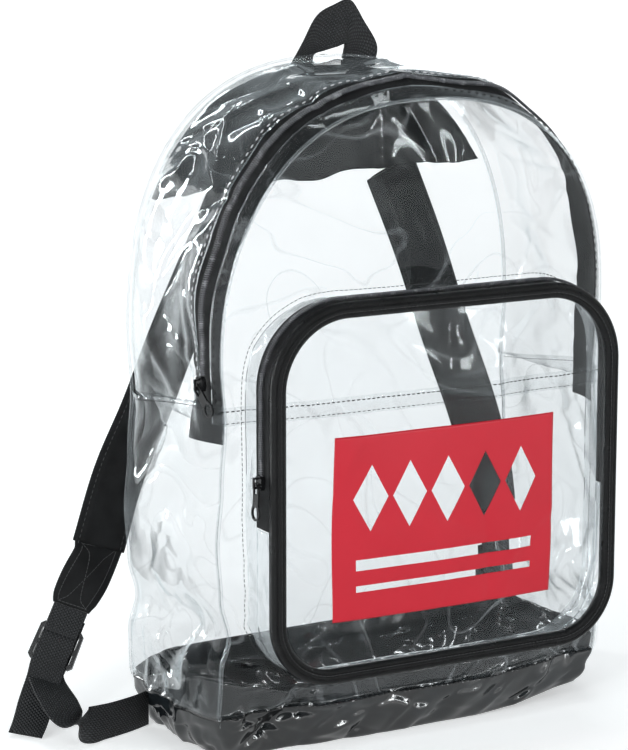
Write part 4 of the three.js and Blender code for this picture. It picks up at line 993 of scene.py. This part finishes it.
def build_pocket():
    """The pocket: its clear wall, tape, low gusset and face, the binding round its rim, and its teeth."""
    whole = rim_part(0, 1, 361)[:-1]
    tape_back = -pocket_rim + binding_back + pocket_tape_width
    rim_back = -pocket_rim + binding_back + 0.3
    right, left = rim_share_at(pocket_zip_end, 1), rim_share_at(pocket_zip_end, -1)
    centre = (pocket_shift, 0, pocket_foot + pocket_tall / 2)
    skin = front_face(whole[:, 0], whole[:, 1]) - vinyl - layer
    wall = rim_wall(whole, np.full(len(whole), tape_back + 0.3), skin, -vinyl / 2)
    swollen = ripple(whole[:, 0], whole[:, 1], 33, 25, 0.5)[:, None] * np.sin(np.linspace(0, np.pi, 9))
    outwards = np.stack([whole[:, 2], 0 * whole[:, 2], whole[:, 3]], axis=1)
    wall += swollen[..., None] * outwards[:, None]
    dress(sheet_piece("pocket_wall", wall, film, centre, wrap_rows=True), edge_vinyl, "clear_vinyl",
          "pocket_seam_strip")
    zipped = rim_part(right, left, 260)
    tape = rim_wall(zipped, np.full(260, rim_back), np.full(260, tape_back), -0.45)
    dress(sheet_piece("pocket_tape", tape, 0.7, centre), tape_cloth, "black_nylon", "pocket_zip_tape")
    foot = rim_part(left + 0.001, 1 + right - 0.001, 220)
    gusset_low = rim_wall(foot, np.full(220, rim_back), np.full(220, tape_back), -vinyl / 2)
    dress(sheet_piece("pocket_low_film", gusset_low, film, centre), edge_vinyl, "clear_vinyl",
          "pocket_lower_gusset")

    inset = binding_width + 0.3
    top, low = pocket_foot + pocket_tall - inset, pocket_foot + inset
    z = low + (top - low) * (1 - np.cos(np.linspace(0, np.pi, 110))) / 2
    rt, rf = pocket_corner_top - inset, pocket_corner_foot - inset
    over = np.clip(z - (top - rt), 0, rt)
    under = np.clip(low + rf - z, 0, rf)
    half = pocket_width / 2 - inset
    half = half - (rt - np.sqrt(rt ** 2 - over ** 2)) - (rf - np.sqrt(rf ** 2 - under ** 2))
    x = pocket_shift + half[:, None] * np.linspace(-1, 1, 110)[None, :]
    zz = np.broadcast_to(z[:, None], x.shape)
    face = np.stack([x, pocket_panel(x, zz) - vinyl / 2 + 0.6, zz], axis=-1)
    dress(sheet_piece("pocket_film", face, film), sheet_vinyl, "clear_vinyl", "pocket_front")

    profile_turn = np.linspace(0, np.pi, 25)
    front = np.stack([-binding_width / 2 + (binding_width / 2 + 0.5) * np.cos(profile_turn),
                      -binding_front * np.sin(profile_turn) ** 0.7], axis=1)
    for groove in (0.3, 0.66):
        front[:, 1] += 1.3 * np.exp(-((front[:, 0] + binding_width * groove) / 0.6) ** 2)
    profile = np.concatenate([front, [(-binding_width, binding_back), (0.5, binding_back)]])
    ring = rim_part(0, 1, 421)[:-1]
    centres = np.stack([ring[:, 0], np.full(420, -float(pocket_rim)), ring[:, 1]], axis=1)
    outs = np.stack([ring[:, 2], np.zeros(420), ring[:, 3]], axis=1)
    backwards = np.tile([0.0, 1.0, 0.0], (420, 1))
    binding = carried("pocket_piping", centres, outs, backwards, profile, closed=True)
    dress(binding, binding_cloth, "black_nylon", "pocket_binding")
    seam_line = centres - outs * binding_width * 0.62 + np.array([0.0, -binding_front * 0.75, 0.0])
    stitches = stitch_row("pocket_stitches", np.concatenate([seam_line, seam_line[:1]]),
                          np.tile([0.0, -1.0, 0.0], (421, 1)), 3.0)
    dress(stitches, strap_thread, "black_nylon")

    sewn = np.stack([ring[:, 0] + ring[:, 2] * 3, front_face(ring[:, 0], ring[:, 1]) - 2 * vinyl - layer,
                     ring[:, 1] + ring[:, 3] * 3], axis=1)
    dress(stitch_row("pocket_sewn_line", sewn, -backwards), black_thread, "black_nylon")
    coil_y = (rim_back + tape_back) / 2
    end = rim_share_at(pocket_slider_height + slider_length / 2, -1)
    part = rim_part(right + 0.004, end, 700)
    line = np.stack([part[:, 0] + part[:, 2] * (0.1 + coil_height / 2), np.full(700, coil_y),
                     part[:, 1] + part[:, 3] * (0.1 + coil_height / 2)], axis=1)
    _, spaced = evenly(np.column_stack([line, part[:, 2:]]), tooth_pitch / 2)
    outs = np.stack([spaced[:, 3], np.zeros(len(spaced)), spaced[:, 4]], axis=1)
    teeth = tooth_chain("pocket_teeth", spaced[:, :3], directions(spaced[:, :3]), outs)
    dress(teeth, coil_nylon, "coil_nylon", "pocket_zip_coil")


def build_print():
    """The printed film: a flat rectangle laid on the pocket's face, its left edge pulled a little out."""
    u = np.linspace(0, 1, 90)[:, None]
    v = np.linspace(0, 1, 66)[None, :]
    x = print_shift + (u - 0.5) * print_width + 0 * v - 2 * np.sin(np.pi * v) * (1 - u) ** 3
    z = print_foot + v * print_tall + 0 * u
    points = np.stack([x, pocket_panel(x, z) - 0.35, z], axis=-1)
    rows, columns = points.shape[:2]
    quads, row, column = grid_faces(rows, columns)
    flipped = quads[:, ::-1]
    flat = points.reshape(-1, 3)
    normal = np.cross(flat[quads[0, 2]] - flat[quads[0, 0]], flat[quads[0, 3]] - flat[quads[0, 1]])
    keep = normal[1] < 0
    uvs = np.stack([row / (rows - 1) * print_width, column / (columns - 1) * print_tall], axis=-1) * MM
    uvs = uvs if keep else uvs[:, ::-1]
    piece = fill_mesh("printed_film", flat, (quads if keep else flipped).tolist(), uvs.reshape(-1, 2))
    wall = piece.modifiers.new("wall", "SOLIDIFY")
    wall.thickness = 0.2 * MM
    wall.offset = 1
    dress(piece, ink, "red_print", "pocket_print")


# Yoke and handle

def build_yoke():
    """Black band over the top of the back: rows from a ragged lower edge up to the arch."""
    share = np.linspace(-1, 1, 220)[None, :]
    k = np.linspace(0, 1, 46)[:, None]
    foot = body_height - yoke_drop
    x_low = share * (half_width(np.array(float(spring_height)), np.array(1.0)) * 0.89 - yoke_margin)
    frayed = ripple(x_low, 0 * x_low, 41, 60, 2.2) + ripple(x_low, 0 * x_low, 42, 9, 0.45)
    z_low = foot + yoke_tilt * x_low / body_width + frayed
    angle = np.arcsin(np.clip(share, -1, 1))
    path = angle / (np.pi / 2)
    x_top, z_top = panel_edge(path * (0.66 - 0.04 * share), np.ones_like(path), -yoke_margin)
    x = blend(x_low, x_top, k)
    z = blend(z_low, z_top, k)
    y = back_face(x, z) + vinyl + 1.3 + ripple(x, z, 43, 40, 0.5)
    dress(sheet_piece("yoke_band", np.stack([x, y, z], axis=-1), 1.2), yoke_cloth, "black_nylon", "yoke")


def spline(points, count):
    """A smooth line through points, by cubic steps between them, with slopes taken from their neighbours."""
    points = np.asarray(points, float)
    slopes = np.gradient(points, axis=0)
    at = np.linspace(0, len(points) - 1, count)
    i = np.clip(at.astype(int), 0, len(points) - 2)
    t = (at - i)[:, None]
    a, b, sa, sb = points[i], points[i + 1], slopes[i], slopes[i + 1]
    return (a * (1 + 2 * t) * (1 - t) ** 2 + sa * t * (1 - t) ** 2
            + b * t * t * (3 - 2 * t) + sb * t * t * (t - 1))


def build_handle():
    """Grab handle: webbing ruled between an inner and an outer edge, folded over on itself at the top."""
    outer = [(0, 0), (0.16, 0.38), (0.32, 0.78), (0.51, 0.94),
             (0.7, 1.0), (0.86, 0.67), (1.0, 0.31), (0.97, 0)]
    inner = [(0.28, 0), (0.28, 0.2), (0.4, 0.26), (0.54, 0.31),
             (0.64, 0.35), (0.63, 0.24), (0.61, 0.12), (0.6, 0)]
    foot = body_height - yoke_margin - 2

    def place(rows):
        """Across and up of shares of the handle's span and rise."""
        across = handle_shift + (rows[:, 0] - 0.5) * handle_span
        return np.stack([across, foot + rows[:, 1] * (handle_rise + 1.5)], axis=1)

    far, near = place(spline(outer, 90)), place(spline(inner, 90))
    v = np.linspace(0, 1, 24)[None, :, None]
    flat = blend(near[:, None], far[:, None], v)
    u = np.linspace(0, 1, 90)[:, None]
    y = back_face(np.zeros(1), np.full(1, float(foot)))[0] + 3
    lap = 1.4 * smooth((u - 0.5) / 0.14) + 0.8 * np.sin(np.pi * u) * np.cos(np.pi * (v[..., 0] - 0.5))
    points = np.stack([flat[..., 0], y + lap - 0.5, flat[..., 1]], axis=-1)
    dress(sheet_piece("handle_webbing", points, 1.8, (9, -500, 460)), webbing, "black_webbing", "grab_handle")


# Straps

def catmull_rom(points, count, tension=None):
    """A line through points: centripetal, or with a plain tension, by the usual cubic between neighbours."""
    ends = np.concatenate([[2 * points[0] - points[1]], points, [2 * points[-1] - points[-2]]])
    at = np.linspace(0, len(points) - 1, count)
    i = np.clip(at.astype(int), 0, len(points) - 2)
    t = (at - i)[:, None]
    p0, p1, p2, p3 = (ends[i + k] for k in range(4))
    if tension is None:
        step = lambda a, b: np.maximum(np.linalg.norm(b - a, axis=1, keepdims=True), 1e-8) ** 0.5
        d0, d1, d2 = step(p0, p1), step(p1, p2), step(p2, p3)
        m1 = ((p1 - p0) / d0 - (p2 - p0) / (d0 + d1) + (p2 - p1) / d1) * d1
        m2 = ((p2 - p1) / d1 - (p3 - p1) / (d1 + d2) + (p3 - p2) / d2) * d1
    else:
        m1, m2 = tension * (p2 - p0), tension * (p3 - p1)
    return p1 + m1 * t + (3 * (p2 - p1) - 2 * m1 - m2) * t ** 2 + (2 * (p1 - p2) + m1 + m2) * t ** 3


def stations(rows, count):
    """Centres, sideways and facing directions along rows that hold a point and a sideways direction."""
    rows = np.asarray(rows, float)
    centre = catmull_rom(rows[:, :3], count)
    side = catmull_rom(unit(rows[:, 3:]), count, 0.3)
    along = directions(centre)
    side = unit(side - along * (side * along).sum(axis=1, keepdims=True))
    return centre, side, np.cross(along, side)


def band_profile(width, thickness, roll=0.35, points=22):
    """A flat band with rounded edges: cosine and sine, each to the power roll, as a superellipse."""
    turn = np.linspace(0, 2 * np.pi, points, endpoint=False)
    x = np.sign(np.cos(turn)) * np.abs(np.cos(turn)) ** roll * width / 2
    y = np.sign(np.sin(turn)) * np.abs(np.sin(turn)) ** roll * thickness / 2
    return np.stack([x, y], axis=1)


def strap_profile():
    """The padded strap: a low crown between two stitched channels, with a thin bound edge each side."""
    share = np.linspace(-1, 1, 23)
    crown = (1 - np.abs(share) ** 4) * strap_thickness / 2
    crown *= 1 - 0.55 * np.exp(-((np.abs(share) - 0.8) / 0.05) ** 2)
    crown = np.maximum(crown, 0.8 * (1 - np.abs(share) ** 12))
    upper = np.stack([share * strap_width / 2, crown], axis=1)
    return np.concatenate([upper, upper[-2:0:-1] * (1, -1)])


def build_strap(hand, strap, lock, riser, tail):
    """One shoulder strap: its pad, the webbing through its ladder lock and its stitched tab."""
    rows = np.array(strap, float)
    top = rows[0]
    skin = back_face(np.array([top[0]]), np.array([top[2]]))[0] + vinyl + 0.6 + 1.4
    rows[0, 1] = skin + strap_thickness / 2 + 0.6
    centre, side, out = stations(rows, 120)
    dress(carried("strap_pad_" + hand, centre, side, out, strap_profile()), strap_cloth, "black_nylon",
          "shoulder_strap_" + hand)
    for edge in (-1, 1):
        for face in (-1, 1):
            line = centre + side * edge * strap_width * 0.4 + out * face * strap_thickness * 0.24
            word = ("outer", "inner")[edge > 0] + ("_back", "_front")[face > 0]
            row = stitch_row("strap_stitches_" + word + "_" + hand, line, out * face, 4.0)
            dress(row, strap_thread, "black_nylon")
    across_top = np.linspace(-0.36, 0.36, 20)[:, None] * strap_width
    for at in (2, 5):
        line = centre[at] + side[at] * across_top + out[at] * (strap_thickness / 2)
        row = stitch_row(f"strap_top_stitches_{at}_{hand}", line, np.tile(out[at], (20, 1)), 4.0)
        dress(row, strap_thread, "black_nylon")

    middle, up, across = np.array(lock, float)
    up = unit(up)
    across = unit(across)
    across = unit(across - up * (across @ up))
    face = np.cross(across, up)
    wrap = lock_thickness / 2 + 0.3 + webbing_thickness / 2
    in_lock = lambda v, w: np.concatenate([middle + up * v + face * w, across])
    top_bar = lock_length / 2 - lock_bar
    stub_top = lock_length / 2 + stub_length
    turns = np.radians([0, 45, 90, 135, 180])
    stub = [in_lock(stub_top, wrap), in_lock(top_bar + 4, wrap)]
    stub += [in_lock(top_bar - wrap * math.sin(a), wrap * math.cos(a)) for a in turns]
    stub += [in_lock(top_bar + 4, -wrap), in_lock(top_bar + stub_return, -wrap)]
    profile = band_profile(webbing_width, webbing_thickness)
    dress(carried("stub_band_" + hand, *stations(stub, 60), profile), webbing, "black_webbing",
          "stub_webbing_" + hand)

    mid_bar = top_bar - lock_upper_slot
    turn_at = mid_bar + 4.5
    turned = lambda v, w: np.concatenate([middle + up * v + face * w, -across])
    run = list(riser)
    run += [turned(-lock_length / 2 - 6, -wrap), turned(-lock_length / 2, -wrap), turned(mid_bar - 3, -wrap)]
    run += [turned(turn_at + wrap * math.sin(a), -wrap * math.cos(a)) for a in turns]
    run += [turned(mid_bar - 3, wrap), turned(-lock_length / 2, wrap)] + list(tail)
    dress(carried("adjuster_band_" + hand, *stations(run, 220), profile), webbing, "black_webbing",
          "adjuster_webbing_" + hand)

    end, before = rows[-1], rows[-2]
    along = unit(end[:3] - before[:3])
    tab = [np.concatenate([end[:3] - along * 4, end[3:]]), np.concatenate([end[:3] + along * 7, end[3:]]),
           in_lock(stub_top + 7, wrap), in_lock(stub_top + 0.3, wrap)]
    centre, side, out = stations(tab, 48)
    k = np.linspace(0, 1, 48)[:, None]
    width = blend(strap_width - 3, webbing_width + 2, k ** 1.3) / webbing_width
    piece = carried("tab_cloth_" + hand, centre, side * width, out, band_profile(webbing_width, tab_cloth))
    dress(piece, strap_cloth, "black_nylon", "strap_tab_" + hand)
    low_left, low_right, top_right, top_left = np.array(
        [(-0.36, 0.12), (0.36, 0.12), (0.36, 0.9), (-0.36, 0.9)])
    box = [low_left, low_right, top_right, top_left, low_left, top_right, low_right, top_left]
    pen = np.concatenate([blend(a, b, np.linspace(0, 1, 16)[:, None]) for a, b in zip(box[:-1], box[1:])])
    at = pen[:, 1] * 47
    pick = lambda field: np.stack([np.interp(at, np.arange(48), field[:, c]) for c in range(3)], axis=1)
    for face_hand, word in ((-1, "back"), (1, "front")):
        outwards = pick(out) * face_hand
        line = pick(centre) + pick(side * width) * pen[:, :1] * webbing_width + outwards * tab_cloth / 2
        row = stitch_row("tab_stitches_" + word + "_" + hand, line, outwards, 2.8)
        dress(row, strap_thread, "black_nylon")


def finish_hardware():
    """The rigid nodes keep their shape and get their finish."""
    for name in ("main_zip_slider", "main_zip_pull", "pocket_zip_slider", "pocket_zip_pull",
                 "ladder_lock_left", "ladder_lock_right"):
        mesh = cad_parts[name].data
        mesh.materials.clear()
        mesh.materials.append(moulding)


# Studio

def build_studio():
    """Pale floor and backdrop, a dim sky and long narrow lamps."""
    square = np.array([(-1, -1, 0.0), (1, -1, 0), (1, 1, 0), (-1, 1, 0)])
    floor = fill_mesh("floor", square * 14000, [[0, 1, 2, 3]])
    pale = pale_floor()
    floor.data.materials.append(pale)
    turn = np.linspace(0, 2 * np.pi, 97)[:-1]
    ring = np.stack([np.cos(turn), np.sin(turn), 0 * turn], axis=1) * 12000
    wall = np.stack([ring + (0, 0, -10), ring + (0, 0, 2600)], axis=1)
    backdrop = fill_mesh("backdrop", wall.reshape(-1, 3), grid_faces(96, 2, True)[0][:, ::-1].tolist())
    backdrop.data.materials.append(pale)

    world = bpy.data.worlds.new("studio")
    bpy.context.scene.world = world
    world.use_nodes = True
    sky = world.node_tree.nodes["Background"]
    sky.inputs[0].default_value = (0.88, 0.96, 1, 1)
    sky.inputs[1].default_value = 0.3

    def softbox(name, place, size, power, aim=(0, 0, 0.22)):
        """A rectangular lamp that faces a point."""
        lamp = bpy.data.lights.new(name, "AREA")
        lamp.shape = "RECTANGLE"
        lamp.size, lamp.size_y = size
        lamp.energy = power
        lamp.color = (0.95, 0.99, 1)
        holder = bpy.data.objects.new(name, lamp)
        back = unit(np.array(place, float) - np.array(aim, float))
        right = unit(np.cross([0, 0, 1.0], back))
        turn = Matrix(np.stack([right, np.cross(back, right), back], axis=1).tolist())
        holder.matrix_world = Matrix.Translation(place) @ turn.to_4x4()
        holder.visible_camera = False
        bpy.context.scene.collection.objects.link(holder)

    softbox("key", (-1.9, -1.6, 1.7), (0.1, 1.3), 12)
    softbox("left panel", (-2.3, -0.9, 0.6), (1.0, 0.6), 22)
    softbox("low left strip", (-2.3, -1.4, 0.45), (1.2, 0.1), 12)
    softbox("right strip", (1.9, -1.3, 1.0), (0.05, 1.6), 5)
    softbox("front right strip", (1.2, -2.2, 0.8), (0.12, 1.0), 12)
    softbox("front strip", (0.9, -2.4, 0.75), (1.4, 0.06), 8)
    softbox("back left strip", (-1.3, 2.2, 0.6), (0.2, 1.1), 22)
    softbox("back strip", (-0.4, 2.2, 1.4), (1.6, 0.05), 4)
    softbox("top", (0.2, 0.3, 2.3), (0.9, 0.2), 8)


def build_camera():
    """Camera at the photograph's angle, its axes written from its turn and its height angle."""
    turn, rise = math.radians(29.0), math.radians(11.4)
    back = np.array([-math.sin(turn) * math.cos(rise), -math.cos(turn) * math.cos(rise), math.sin(rise)])
    right = np.array([math.cos(turn), -math.sin(turn), 0])
    lens = bpy.data.cameras.new("camera")
    lens.lens = 136.8
    lens.sensor_width = 36
    holder = bpy.data.objects.new("camera", lens)
    axes = Matrix(np.stack([right, np.cross(back, right), back], axis=1).tolist())
    holder.matrix_world = Matrix.Translation((-0.97284, -1.67313, 0.62964)) @ axes.to_4x4()
    bpy.context.scene.collection.objects.link(holder)
    bpy.context.scene.camera = holder


build_camera()
build_studio()
build_body()
build_seams()
build_main_zip()
build_base()
build_pocket()
build_print()
build_yoke()
build_handle()
build_strap("left", left_strap, left_lock, left_riser, left_tail)
build_strap("right", right_strap, right_lock, right_riser, right_tail)
finish_hardware()

cycles = bpy.context.scene.cycles
cycles.transparent_max_bounces = 28
cycles.max_bounces = 6
cycles.diffuse_bounces = 2
cycles.glossy_bounces = 3
bpy.context.scene.view_settings.view_transform = "Standard"
